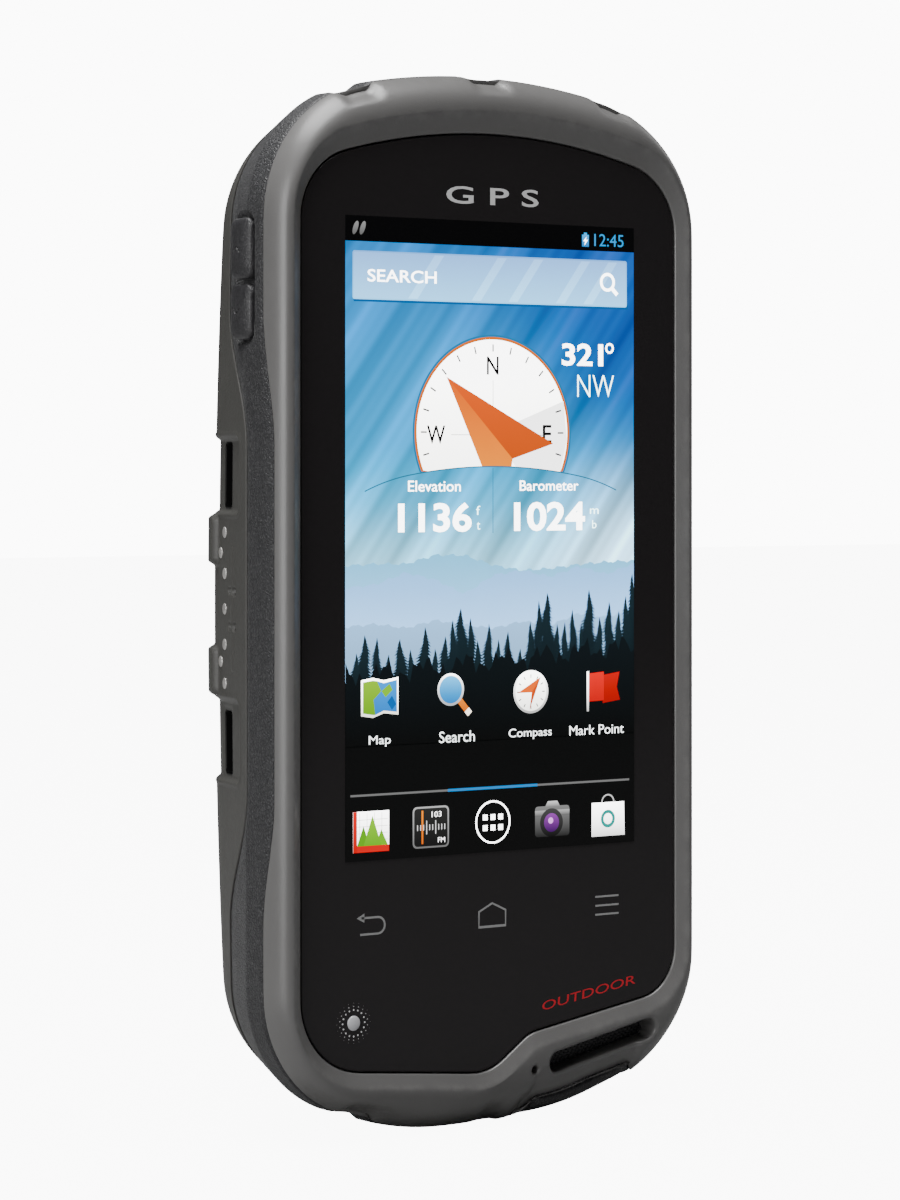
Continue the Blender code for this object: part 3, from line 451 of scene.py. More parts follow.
def makeBand():
    columns = caseColumns(bandSpacing)
    body = columns["body"]
    z = body[:, 1]
    front = bandFront(body[:, 0], z) + case["seam"] / 2
    rear = bandRear(z) - case["seam"] / 2
    flankStop = np.minimum(case["flankEndY"], rear)
    rows = flankRows(columns, front, flankStop, 20)
    sides = [flankStop * (1 - s) + rear * s for s in np.linspace(0, 1, 44)[1:]]
    rows += [insetRing(columns, taperInset(unbowed(y, z)), y) for y in sides]
    first, last = rows[0].copy(), rows[-1].copy()
    for ringEnd, shift in ((first, 0.02), (last, -0.02)):
        ringEnd[:, [0, 2]] -= columns["bodyNormal"] * 0.25
        ringEnd[:, 1] -= shift
    deepFirst, deepLast = first.copy(), last.copy()
    for ringEnd in (deepFirst, deepLast):
        ringEnd[:, [0, 2]] -= columns["bodyNormal"] * 0.6
    outer = stack([deepFirst[None], first[None], rows, last[None], deepLast[None]])
    outer = fillRows(list(outer), [1] * (len(outer) - 1), soften=0.8)
    outward = outwardField(columns, outer.shape)
    outer = outer - outward * scoops(outer[..., 0], outer[..., 2])[..., None]
    # A soft swell along the middle of the band, as moulded rubber has
    across = np.linspace(-1, 1, len(outer))[:, None]
    outer = outer - outward * (0.18 * smoothStep(0.55, 1.0, np.abs(across)))[..., None]
    for key in ("keyPocket", "powerPocket", "usbPocket", "audioPocket"):
        outer = sink(outer, outward, band[key])
    inner = [insetRing(columns, band["innerInset"], rear), insetRing(columns, band["innerInset"], -13.0),
             insetRing(columns, 1.9, -13.0), insetRing(columns, 1.9, np.minimum(front, -13.2))]
    piece = meshFromGrid("rubber_band", stack([outer, inner]), closedRows=True)
    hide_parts("grip_band")
    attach(piece, "case")
    return piece


# Rear housing

housing = {
    "recess": {"halfX": 23.8, "low": -59.3, "high": 29.3, "radius": 9.2, "floorY": 8.4},
    "bay": {"halfX": 20.7, "low": -37.5, "high": 15.9, "radius": 1.2, "floorY": 0.9},
    "window": {"halfX": 8.5, "low": -8.5, "high": 16.4, "radius": 0.8, "underY": -0.9},
    "latchPocket": {"z": -47.0, "radius": 5.2, "deep": 4.0},
    "wall": 2.2,
    "slots": [(17.9, 4.4), (-19.85, 4.25)],
    "slotY": (0.45, 1.35),
    "recesses": [(17.9, 5.2), (-19.4, 5.6)],
    "ribs": [(8.7, 3.5), (-9.85, 3.45)],
}


def roundedRectRing(columns, shape):
    # The point of a round-cornered rectangle that lies in the same direction from its centre as each column
    centre = np.array([0.0, (shape["low"] + shape["high"]) / 2])
    corners = [(-shape["halfX"], shape["high"], shape["radius"]), (shape["halfX"], shape["high"], shape["radius"]),
               (shape["halfX"], shape["low"], shape["radius"]), (-shape["halfX"], shape["low"], shape["radius"])]
    outline = roundedOutline(corners, 40, 120)
    stretch = np.array([shape["halfX"], (shape["high"] - shape["low"]) / 2])
    bodyStretch = np.array([case["halfWidth"], 72.0])
    angle = np.unwrap(np.arctan2(*((outline - centre) / stretch).T))
    wanted = np.arctan2(*(columns["body"] / bodyStretch).T)
    order = np.argsort(np.mod(angle, 2 * math.pi))
    sortedAngle = np.mod(angle, 2 * math.pi)[order]
    points = outline[order]
    tripled = np.concatenate([sortedAngle - 2 * math.pi, sortedAngle, sortedAngle + 2 * math.pi])
    points = np.concatenate([points] * 3)
    wanted = np.mod(wanted, 2 * math.pi)
    return np.stack([np.interp(wanted, tripled, points[:, i]) for i in range(2)], 1)


def housingSpacing(x, z):
    fine = (x < -30) & (np.abs(z) < 26.5)
    return np.where(fine, 0.24, 0.95)


def dockRelief(grid, unbowedY):
    # Height of the docking panel's relief over the left side: recesses, slots, ribs, lips and small marks
    y, z = np.broadcast_to(unbowedY, grid.shape[:2]), grid[..., 2]
    onSide = grid[..., 0] < -20
    height = np.zeros(grid.shape[:2])
    for middle, half in housing["recesses"]:
        sdf = roundedBoxSdf(y - 5.0, z - middle, 11.5, half, 1.6)
        height -= 0.62 * smoothStep(0.25, -0.35, sdf)
        lip = roundedBoxSdf(y - 5.0, z - middle, 12.0, half + 0.55, 2.0)
        height += 0.16 * np.exp(-(lip / 0.22) ** 2)
    for middle, half in housing["ribs"]:
        sdf = roundedBoxSdf(y - 8.6, z - middle, 6.2, half, 0.9)
        height += 0.95 * smoothStep(0.3, -0.5, sdf) * smoothStep(14, 11, y)
    slotY, slotHalf = housing["slotY"]
    for middle, half in housing["slots"]:
        frameSdf = roundedBoxSdf(y - slotY, z - middle, slotHalf + 0.9, half + 0.75, 0.8)
        height -= 0.12 * smoothStep(0.15, -0.15, frameSdf)
        sdf = roundedBoxSdf(y - slotY, z - middle, slotHalf, half, 0.5)
        height -= 2.3 * smoothStep(0.18, -0.1, sdf)
    # Moulded bar with two small keyholes beside the contacts
    bar = roundedBoxSdf(y + 3.6, z + 0.9, 0.42, 8.6, 0.3)
    height += 0.14 * smoothStep(0.18, -0.1, bar)
    for depth, middle in ((-2.3, 1.6), (-4.3, 1.6), (-2.3, -3.4), (-4.3, -3.4)):
        hole = roundedBoxSdf(y - depth, z - middle, 0.55, 0.42, 0.15)
        height -= 0.9 * smoothStep(0.15, -0.1, hole)
    return np.where(onSide, height, 0)


def hollowMask(grid, unbowedY):
    # Painted shade: one inside the docking slots and on their rims, nothing elsewhere
    y, z = np.broadcast_to(unbowedY, grid.shape[:2]), grid[..., 2]
    slotY, slotHalf = housing["slotY"]
    mask = np.zeros(grid.shape[:2])
    for middle, half in housing["slots"]:
        sdf = roundedBoxSdf(y - slotY, z - middle, slotHalf, half, 0.5)
        mask = np.maximum(mask, smoothStep(0.5, 0.25, sdf))
    return np.where(grid[..., 0] < -20, mask, 0)


def makeHousing():
    columns = caseColumns(housingSpacing)
    body = columns["body"]
    z = body[:, 1]
    start = unbowed(bandRear(z) + case["seam"] / 2, z)
    taper = [start * (1 - s) + case["taperEndY"] * s for s in np.linspace(0, 1, 52)]
    begin = math.atan(case["taperSlope"])
    arc = [case["taperEndY"] + case["edgeRadius"] * (math.sin(turn) - math.sin(begin)) + 0 * z
           for turn in np.linspace(begin, math.pi / 2, 42)[1:]]
    depths = np.array(taper + arc)
    outer = np.array([insetRing(columns, taperInset(y), bowed(y, z)) for y in depths])
    edge = [outer[0].copy(), outer[0].copy()]
    edge[0][:, [0, 2]] -= columns["bodyNormal"] * 0.85
    edge[1][:, [0, 2]] -= columns["bodyNormal"] * 0.25
    outer = fillRows(list(stack([edge[0][None], edge[1][None], outer])), [1] * (len(outer) + 1), soften=0.8)
    depths = np.concatenate([depths[:1], depths[:1], depths])
    normal = gridNormals(outer)
    # Painted shade mask for the docking slots and their rims
    hollow = hollowMask(outer, depths)
    outer += normal * dockRelief(outer, depths)[..., None]
    x = outer[..., 0]
    radial = outwardField(columns, outer.shape)
    fade = smoothStep(11.0, 3.0, outer[..., 1])
    outer -= radial * (scoops(x, outer[..., 2]) * fade)[..., None]
    recess, bay, window = housing["recess"], housing["bay"], housing["window"]
    recessRing = roundedRectRing(columns, recess)
    grown = recessRing + outwardNormals(recessRing) * 0.35
    backY = bowed(np.full(len(z), edgeEndY), grown[:, 1])
    rimY = np.maximum(backY, recess["floorY"] + 0.45)
    bayRing, windowRing = roundedRectRing(columns, bay), roundedRectRing(columns, window)
    back = fillRows([outer[-1], ring(grown, rimY), ring(recessRing, rimY - 0.3)], [12, 2])
    # Between the rounded edge and the recess the back follows its own bow
    back[1:12, :, 1] = bowed(np.full(back[1:12].shape[:2], edgeEndY), back[1:12, :, 2])
    recessWall = fillRows([back[-1], ring(recessRing, recess["floorY"])], [5])[1:]
    floor = fillRows([recessWall[-1], ring(bayRing, recess["floorY"])], [22])[1:]
    distance = np.hypot(floor[..., 0], floor[..., 2] - housing["latchPocket"]["z"])
    floor[..., 1] -= housing["latchPocket"]["deep"] * smoothStep(0.3, -0.3, distance - housing["latchPocket"]["radius"])
    bayWall = fillRows([floor[-1], ring(bayRing, bay["floorY"]), ring(windowRing, bay["floorY"]),
                        ring(windowRing, window["underY"])], [6, 6, 2])[1:]
    wider = roundedRectRing(columns, {**bay, "halfX": bay["halfX"] + 2, "low": bay["low"] - 2, "high": bay["high"] + 2})
    inner = [ring(wider, window["underY"]), ring(wider, recess["floorY"] - housing["wall"]),
             insetRing(columns, 9.0, recess["floorY"] - housing["wall"]), insetRing(columns, 5.6, 2.0),
             insetRing(columns, 5.3, -12.3), insetRing(columns, 3.3, -12.3)]
    grid = stack([outer, back[1:], recessWall, floor, bayWall, inner])
    piece = meshFromGrid("rear_shell", grid, closedRows=True)
    # The painted slot shade rides on the outer rows as a point attribute
    shade = np.zeros(grid.shape[:2], np.float32)
    shade[:len(outer)] = hollow
    piece.data.attributes.new("hollow", "FLOAT", "POINT").data.foreach_set("value", shade.ravel())
    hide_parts("rear_housing")
    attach(piece, "case")
    return piece


# Cover glass


def facing(points, triangles, sign=1):
    # Turns flat triangles so that each runs anticlockwise, or clockwise where sign is -1
    a, b, c = (points[triangles[:, i]] for i in range(3))
    area = (b[:, 0] - a[:, 0]) * (c[:, 1] - a[:, 1]) - (b[:, 1] - a[:, 1]) * (c[:, 0] - a[:, 0])
    return np.where((area * sign < 0)[:, None], triangles[:, ::-1], triangles)


def gridBorder(index):
    # Point numbers once round the edge of a grid
    return np.concatenate([index[0, :], index[1:, -1], index[-1, -2::-1], index[-2:0:-1, 0]])


glass = {
    "frontY": -16.9,
    "backY": -16.1,
    "edge": 0.18,
    "sensorCentre": (-24.2, -58.35),
}


def makeGlass():
    # Rings that follow the outline from back to front with a rounded front edge, closed by flat faces
    normal = outwardNormals(denseGlass)
    turn = np.linspace(0, math.pi / 2, 6)
    inset = np.concatenate([[0.0], glass["edge"] * (1 - np.cos(turn)), [0.5]])
    depth = np.concatenate([[glass["backY"]], glass["frontY"] + glass["edge"] * (1 - np.sin(turn)),
                            [glass["frontY"]]])
    keep = slice(None, None, 4)
    grid = np.array([ring(denseGlass[keep] - normal[keep] * i, y) for i, y in zip(inset, depth)])
    rows, columns = grid.shape[:2]
    index = np.arange(rows * columns).reshape(rows, columns)
    quads = np.stack([index[:-1], np.roll(index[:-1], -1, 1), np.roll(index[1:], -1, 1), index[1:]], 2)
    caps = []
    for row, sign in ((0, -1), (rows - 1, 1)):
        flat = np.array(tessellate_polygon([[Vector((x, z, 0)) for x, _, z in grid[row]]]))
        caps.append(facing(grid[row][:, [0, 2]], flat, sign) + row * columns)
    # The rows run from back to front, so a front face turns the other way from the side faces
    piece = meshFromFaces("glass_sheet", grid.reshape(-1, 3), quads.reshape(-1, 4)[:, ::-1], np.concatenate(caps))
    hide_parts("cover_glass")
    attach(piece, "case")
    return piece


# Display picture and printed marks: thin closed layers, each with its colour on its points

screen = {
    "left": -25.6, "right": 25.3, "top": 54.05, "bottom": -35.9,
    "layer": 0.012,
    "blend": 0.75,
    "spill": 0.16,
    "compassCentre": (-0.25, 23.95),
    "compassRadius": 13.65,
    "arcTop": 19.1,
    "arcDroop": 0.00578,
}
picture = {"points": [], "triangles": [], "colours": []}


def linear(code):
    # Colour from six hexadecimal digits, as linear red, green and blue
    value = np.array([int(code[i:i + 2], 16) for i in (0, 2, 4)]) / 255
    return np.where(value <= 0.04045, value / 12.92, ((value + 0.055) / 1.055) ** 2.4)


def pointColours(outline, colour):
    # One colour, or a top and a bottom colour blended by height
    if isinstance(colour, str):
        return np.tile(linear(colour), (len(outline), 1))
    top, bottom = linear(colour[0]), linear(colour[1])
    height = outline[:, 1]
    share = ((height - height.min()) / max(np.ptp(height), 1e-6))[:, None]
    return top * share + bottom * (1 - share)


def addLayer(front, triangles, edges, colours, layer):
    # A closed slab: the front points, the same points behind, and side faces along the edges
    base = sum(len(points) for points in picture["points"])
    count = len(front)
    y = glass["frontY"] - screen["layer"] * layer
    shared = np.concatenate([ring(front, y), ring(front, y + screen["layer"] * 0.8)])
    triangles, edges = np.array(triangles), np.array(edges)
    sides = [np.stack([edges[:, 0], edges[:, 0] + count, edges[:, 1] + count], 1),
             np.stack([edges[:, 0], edges[:, 1] + count, edges[:, 1]], 1)]
    faces = np.concatenate([triangles, triangles[:, ::-1] + count] + sides)
    picture["points"].append(shared)
    picture["triangles"].append(faces + base)
    picture["colours"].append(np.concatenate([colours, colours]))


def patch(outline, colour, layer):
    # A flat shape with straight sides between its outline points
    outline = np.array(outline, float)
    area = (outline[:, 0] * np.roll(outline[:, 1], -1) - np.roll(outline[:, 0], -1) * outline[:, 1]).sum()
    if area < 0:
        outline = outline[::-1]
    triangles = facing(outline, np.array(tessellate_polygon([[Vector((x, z, 0)) for x, z in outline]])))
    index = np.arange(len(outline))
    edges = np.stack([index, np.roll(index, -1)], 1)
    addLayer(outline, triangles, edges, pointColours(outline, colour), layer)


def rectangle(left, low, right, high, colour, layer):
    patch([(left, low), (right, low), (right, high), (left, high)], colour, layer)


def circle(centre, radius, steps=48, start=0.0, end=2 * math.pi):
    turn = np.linspace(start, end, steps, endpoint=abs(end - start) < 6.28)
    return np.stack([centre[0] + radius * np.cos(turn), centre[1] + radius * np.sin(turn)], 1)


def roundedPatch(left, low, right, high, radius, colour, layer):
    corners = [(right - radius, high - radius), (left + radius, high - radius),
               (left + radius, low + radius), (right - radius, low + radius)]
    outline = [circle(corner, radius, 6, i * math.pi / 2, (i + 1) * math.pi / 2) for i, corner in enumerate(corners)]
    patch(np.concatenate(outline), colour, layer)


def stroke(path, width, colour, layer, closed=False):
    # A line of even width along a path, as one slab of quads
    path = np.array(path, float)
    if closed:
        along = np.roll(path, -1, 0) - np.roll(path, 1, 0)
    else:
        along = np.gradient(path, axis=0)
    side = np.stack([-along[:, 1], along[:, 0]], 1)
    side /= np.linalg.norm(side, axis=1, keepdims=True)
    before, after = path - np.roll(path, 1, 0), np.roll(path, -1, 0) - path
    if not closed:
        before[0], after[-1] = after[0], before[-1]
    before /= np.linalg.norm(before, axis=1, keepdims=True)
    after /= np.linalg.norm(after, axis=1, keepdims=True)
    mitre = np.sqrt(np.clip((1 + (before * after).sum(1)) / 2, 0.25, 1))[:, None]
    left, right = path + side * width / 2 / mitre, path - side * width / 2 / mitre
    count = len(path)
    front = np.concatenate([right, left])
    here = np.arange(count if closed else count - 1)
    there = (here + 1) % count
    triangles = np.concatenate([np.stack([here, there, there + count], 1),
                                np.stack([here, there + count, here + count], 1)])
    edges = [np.stack([here, there], 1), np.stack([there + count, here + count], 1)]
    if not closed:
        edges.append(np.array([[count - 1, 2 * count - 1], [count, 0]]))
    addLayer(front, triangles, np.concatenate(edges), pointColours(front, colour), layer)


def lettering(text, left, low, right, high, colour, layer, bold=0.0, tilt=0.0, lean=0.0):
    # The built-in typeface fitted into a box, then leaned and tilted about the box's lower left corner
    curve = bpy.data.curves.new("letters", "FONT")
    curve.body = text
    curve.size = 10.0
    curve.offset = bold
    curve.resolution_u = 4
    curve.fill_mode = "FRONT"
    letters = bpy.data.objects.new("letters", curve)
    bpy.context.scene.collection.objects.link(letters)
    bpy.context.view_layer.update()
    mesh = bpy.data.meshes.new_from_object(letters)
    bpy.data.objects.remove(letters)
    flat = np.zeros(len(mesh.vertices) * 3)
    mesh.vertices.foreach_get("co", flat)
    flat = flat.reshape(-1, 3)[:, :2]
    mesh.calc_loop_triangles()
    triangles = np.zeros(len(mesh.loop_triangles) * 3, np.int32)
    mesh.loop_triangles.foreach_get("vertices", triangles)
    triangles = triangles.reshape(-1, 3)
    bpy.data.meshes.remove(mesh)
    low2, high2 = flat.min(0), flat.max(0)
    share = (flat - low2) / (high2 - low2)
    x, z = share[:, 0] * (right - left), share[:, 1] * (high - low)
    x = x + z * lean
    outline = np.stack([left + x * math.cos(tilt) - z * math.sin(tilt),
                        low + x * math.sin(tilt) + z * math.cos(tilt)], 1)
    triangles = facing(outline, triangles)
    half = np.concatenate([triangles[:, [0, 1]], triangles[:, [1, 2]], triangles[:, [2, 0]]])
    key = half[:, 0].astype(np.int64) * len(flat) + half[:, 1]
    reverse = half[:, 1].astype(np.int64) * len(flat) + half[:, 0]
    edges = half[~np.isin(key, reverse)]
    addLayer(outline, triangles, edges, pointColours(outline, colour), layer)


def horizon(x):
    # The pale arc that cuts the compass: it droops with the square of the distance from the middle
    return screen["arcTop"] - screen["arcDroop"] * (x - screen["compassCentre"][0]) ** 2


def skyColours(x, z):
    # Blue sky: colours down the height, a violet upper right, and slanting rays of light
    height = [-9.0, -2.0, 5.0, 9.0, 14.0, 22.0, 34.0, 50.5]
    shade = np.array([linear(c) for c in
                      ("b9d3e8", "b4d4ea", "aad6e6", "96cfe4", "6cc0e0", "35aedc", "2ba5da", "3a92d2")])
    colour = np.stack([np.interp(z, height, shade[:, i]) for i in range(3)], -1)
    violet = smoothStep(-12, 24, x + 0.5 * (z - 34)) * smoothStep(10, 34, z)
    colour = colour * (1 - 0.85 * violet[..., None]) + linear("3a5fb6") * 0.85 * violet[..., None]
    pale = smoothStep(4, 24, x - 0.35 * (z - 12)) * smoothStep(26, 10, z) * smoothStep(-4, 6, z)
    colour = colour * (1 - 0.55 * pale[..., None]) + linear("dcebf5") * 0.55 * pale[..., None]
    across = 0.8 * x - 0.6 * z
    rays = (np.sin(across * 0.42 + 0.6) + 0.7 * np.sin(across * 0.93 + 2.1) + 0.5 * np.sin(across * 1.9 + 0.4)
            + 0.3 * np.sin(across * 3.7 + 1.0))
    light = 0.055 * rays * smoothStep(-8, 12, z)
    return np.clip(colour * (1 + 1.6 * light[..., None]) + 0.25 * light[..., None], 0, 1)


def drawSky(layer):
    x = np.linspace(screen["left"], screen["right"], 96)
    z = np.linspace(-10.0, 50.5, 110)
    x, z = np.meshgrid(x, z)
    colours = skyColours(x, z).reshape(-1, 3)
    rows, columns = x.shape
    index = np.arange(rows * columns).reshape(rows, columns)
    a, b, c, d = index[:-1, :-1].ravel(), index[:-1, 1:].ravel(), index[1:, 1:].ravel(), index[1:, :-1].ravel()
    triangles = np.concatenate([np.stack([a, b, c], 1), np.stack([a, c, d], 1)])
    border = gridBorder(index)
    front = np.stack([x.ravel(), z.ravel()], 1)
    addLayer(front, triangles, np.stack([border, np.roll(border, -1)], 1), colours, layer)


def ridge(heights, low, colour, layer):
    # A mountain ridge: a smooth run of heights across the screen with small rough steps
    x = np.linspace(screen["left"], screen["right"], 120)
    at = np.linspace(screen["left"], screen["right"], len(heights))
    z = np.interp(x, at, heights) + 0.16 * np.sin(x * 2.3) + 0.1 * np.sin(x * 5.1 + 1)
    top = np.stack([x, z], 1)
    patch(np.concatenate([top[::-1], [(screen["left"], low), (screen["right"], low)]]), colour, layer)


def conifer(x, top, low, spread, seed, colour, layer):
    # Branch tips and notches down both sides, with lengths that vary a little from branch to branch
    levels = int(np.clip((top - low) * 2.2, 12, 34))
    share = (np.arange(levels) + 1) / levels
    wobble = np.sin(np.arange(levels) * 12.99 + seed * 7.3) * 0.3 + np.sin(np.arange(levels) * 2.1 + seed) * 0.12
    reach = spread * 1.7 * share ** 0.72 * (1 + wobble)
    height = top - 0.5 - (top - low - 0.5) * share
    right = np.stack([np.stack([x + reach, height - 0.15], 1),
                      np.stack([x + reach * 0.5, height + 0.02], 1)], 1).reshape(-1, 2)
    reach = spread * 1.7 * share ** 0.72 * (1 - wobble)
    left = np.stack([np.stack([x - reach, height - 0.1], 1),
                     np.stack([x - reach * 0.5, height + 0.07], 1)], 1).reshape(-1, 2)
    outline = np.concatenate([[(x, top)], right[:-1], left[:-1][::-1]])
    outline[:, 0] = np.clip(outline[:, 0], screen["left"], screen["right"])
    patch(outline, colour, layer)


def drawForest():
    ridge([5.3, 5.5, 5.4, 6.6, 6.5, 5.0, 4.2, 4.4, 4.9, 5.2, 5.3], -11, ("8cc8e2", "b6d6ee"), 2)
    ridge([2.2, 2.6, 4.2, 3.1, 1.0, 3.6, 4.2, 3.2, 4.6, 3.4, 4.9], -11, ("9cc6e8", "bcd8f0"), 3)
    ridge([-3.2, -2.9, -3.6, -2.6, -3.4, -4.0, -3.1, -3.8, -2.2, -2.9, -2.0], -11, ("a4c6e2", "9ab8d0"), 4)
    trees = [
        (-25.2, -9.0, 1.2), (-22.4, -4.4, 1.7), (-23.8, -6.9, 1.3), (-20.3, -4.8, 1.3), (-18.3, -7.2, 1.3),
        (-16.4, -5.1, 1.8), (-14.6, -6.6, 1.3), (-12.1, -3.5, 1.6), (-10.4, -6.6, 1.3), (-8.6, -4.9, 1.5),
        (-5.9, -1.0, 2.1), (-7.3, -2.6, 1.4), (-4.2, -2.4, 1.5), (-3.0, -5.6, 1.3), (-1.0, -3.3, 1.4),
        (0.7, -5.6, 1.2), (2.4, -4.5, 1.4), (4.6, -7.0, 1.3), (6.4, -3.2, 1.5), (7.9, -0.2, 1.4), (9.4, 0.9, 2.1),
        (11.2, -3.6, 1.4), (12.6, -3.4, 1.3), (14.0, -1.6, 1.4), (15.6, -3.6, 1.3), (17.0, 1.2, 2.0),
        (18.9, -2.8, 1.5), (20.7, -0.6, 1.7), (22.5, -1.9, 1.5), (23.8, 0.2, 1.6), (25.0, 3.4, 2.0),
    ]
    for i, (x, top, spread) in enumerate(trees):
        conifer(x, top, -15.0, spread, i, ("22343c", "0a0f11"), 5 + 0.5 * (i % 3))
    x = np.linspace(screen["left"], screen["right"], 90)
    z = -8.6 + 0.9 * np.sin(x * 0.9) + 0.8 * np.sin(x * 2.7 + 1) + 0.6 * np.sin(x * 6.1) + 0.06 * x
    brush = np.concatenate([np.stack([x, z], 1)[::-1], [(screen["left"], -20.0), (screen["right"], -20.0)]])
    patch(brush, ("131b1f", "040505"), 7)
    rectangle(screen["left"], screen["bottom"], screen["right"], -19.9, ("060707", "020202"), 7)


def drawCompass():
    centre, radius = screen["compassCentre"], screen["compassRadius"]

    def dial(size, colour, layer):
        # The part of a disc above the arc
        edge = circle(centre, size, 240)
        above = edge[:, 1] > horizon(edge[:, 0])
        first = int(np.argmax(~above))
        run = np.roll(edge, -first, 0)[np.roll(above, -first)]
        x = np.linspace(run[-1][0], run[0][0], 24)[1:-1]
        patch(np.concatenate([run, np.stack([x, horizon(x)], 1)]), colour, layer)

    dial(radius + 0.3, "2f86b4", 2.5)
    dial(radius, "e0823a", 3)
    dial(radius - 0.38, ("f4f4f3", "ededec"), 4)
    sector = [centre, (centre[0] + 12.6, centre[1] + 4.6), (centre[0] + 13.2, centre[1] - 1.0),
              (centre[0] + 12.0, horizon(12.0) + 0.1), (centre[0] + 4.0, horizon(4.0) + 0.1)]
    patch(sector, "e6e6e6", 4.5)
    for step in range(-7, 8):
        turn = math.radians(90 - 15 * step)
        inner, outer = (11.55, 12.6)
        a = (centre[0] + inner * math.cos(turn), centre[1] + inner * math.sin(turn))
        b = (centre[0] + outer * math.cos(turn), centre[1] + outer * math.sin(turn))
        stroke([a, b], 0.24, "1c1c1c", 5)
    stroke([(-0.25, 31.4), (-0.25, 20.0)], 0.09, "9a9a9a", 5)
    stroke([(-7.6, 23.6), (9.0, 23.6)], 0.09, "a8a8a8", 5)
    lettering("N", -1.35, 32.2, 0.75, 34.8, "101010", 5, bold=0.12)
    lettering("W", -11.8, 22.3, -8.6, 24.9, "101010", 5, bold=0.12)
    lettering("E", 8.6, 22.5, 10.2, 25.1, "101010", 5, bold=0.12)
    patch([(-8.4, 31.8), (10.5, 22.4), (3.2, 20.2)], ("e8742c", "d4681f"), 6)
    patch([(-8.4, 31.8), (3.2, 20.2), (3.0, horizon(3.0)), (-2.2, horizon(-2.2))], ("e9772a", "f2a12f"), 6.5)
    x = np.linspace(-22.4, 22.0, 60)
    droop = np.where(np.abs(x) > 15, (np.abs(x) - 15) ** 2 * 0.012, 0)
    stroke(np.stack([x, horizon(x) - droop], 1), 0.16, "3f7f9c", 7)
    stroke([(-0.25, 18.9), (-0.25, 9.6)], 0.1, "3d8aac", 3)
    lettering("321", 12.1, 33.7, 19.6, 36.95, "ffffff", 3, bold=0.25)
    stroke(circle((20.8, 36.35), 0.62, 24), 0.3, "ffffff", 3, closed=True)
    lettering("NW", 14.9, 29.2, 21.6, 32.4, "e6f2fa", 3, bold=-0.16)
    lettering("Elevation", -15.0, 15.55, -5.9, 17.1, "f2f9fc", 3, bold=0.06)
    lettering("Barometer", 4.5, 15.6, 15.1, 17.1, "f2f9fc", 3, bold=0.06)
    lettering("1136", -16.7, 9.8, -4.0, 14.0, "ffffff", 3, bold=0.28)
    lettering("1024", 3.5, 9.8, 16.3, 14.0, "ffffff", 3, bold=0.28)
    for text, left, low, right, high in (("f", -3.2, 12.2, -2.5, 13.5), ("t", -3.1, 10.1, -2.5, 11.2),
                                         ("m", 17.2, 12.2, 18.8, 13.0), ("b", 17.6, 10.1, 18.4, 11.3)):
        lettering(text, left, low, right, high, "e4f2f9", 3)


def drawBars():
    rectangle(screen["left"], 50.5, screen["right"], screen["top"], "020203", 2)
    for x in (-23.9, -22.7):
        turn = circle((0, 0), 1, 20)
        leaf = np.stack([x + turn[:, 0] * 0.42 + turn[:, 1] * 0.3, 52.35 + turn[:, 1] * 0.95], 1)
        patch(leaf, ("9a9a9a", "6c6c6c"), 3)
    rectangle(15.75, 51.05, 17.0, 52.8, ("59b6e8", "2f8fd0"), 3)
    rectangle(16.1, 52.8, 16.65, 53.1, "59b6e8", 3)
    patch([(16.55, 52.5), (16.0, 51.85), (16.35, 51.85), (16.2, 51.3), (16.8, 52.05), (16.4, 52.05)], "ffffff", 4)
    lettering("12:45", 18.0, 51.2, 23.4, 53.0, "4aa3d8", 3)
    rectangle(-24.2, 42.1, 24.2, 43.0, "2468a8", 2)
    roundedPatch(-24.4, 42.4, 24.0, 49.2, 0.35, ("8fb9e2", "9fd2ec"), 3)
    roundedPatch(-24.2, 42.6, 23.8, 49.0, 0.25, ("9cc0e6", "a6d4ee"), 3.5)
    for x in (-15.0, -4.0, 2.5, 11.0, 16.0):
        ray = [(x, 42.7), (x + 1.6, 42.7), (x + 6.2, 48.9), (x + 4.6, 48.9)]
        patch(ray, ("a9cbea", "b3dcf1"), 4)
    lettering("SEARCH", -21.9, 44.9, -10.1, 46.65, "ffffff", 5, bold=0.12)
    stroke(circle((20.4, 46.0), 1.15, 32), 0.45, "ffffff", 5, closed=True)
    stroke([(21.15, 45.2), (22.2, 44.2)], 0.6, "ffffff", 5)
    rectangle(-24.8, -26.9, 24.4, -26.6, "7c7c7c", 8)
    rectangle(-8.2, -26.95, 7.6, -26.55, "3f8fcc", 8.5)


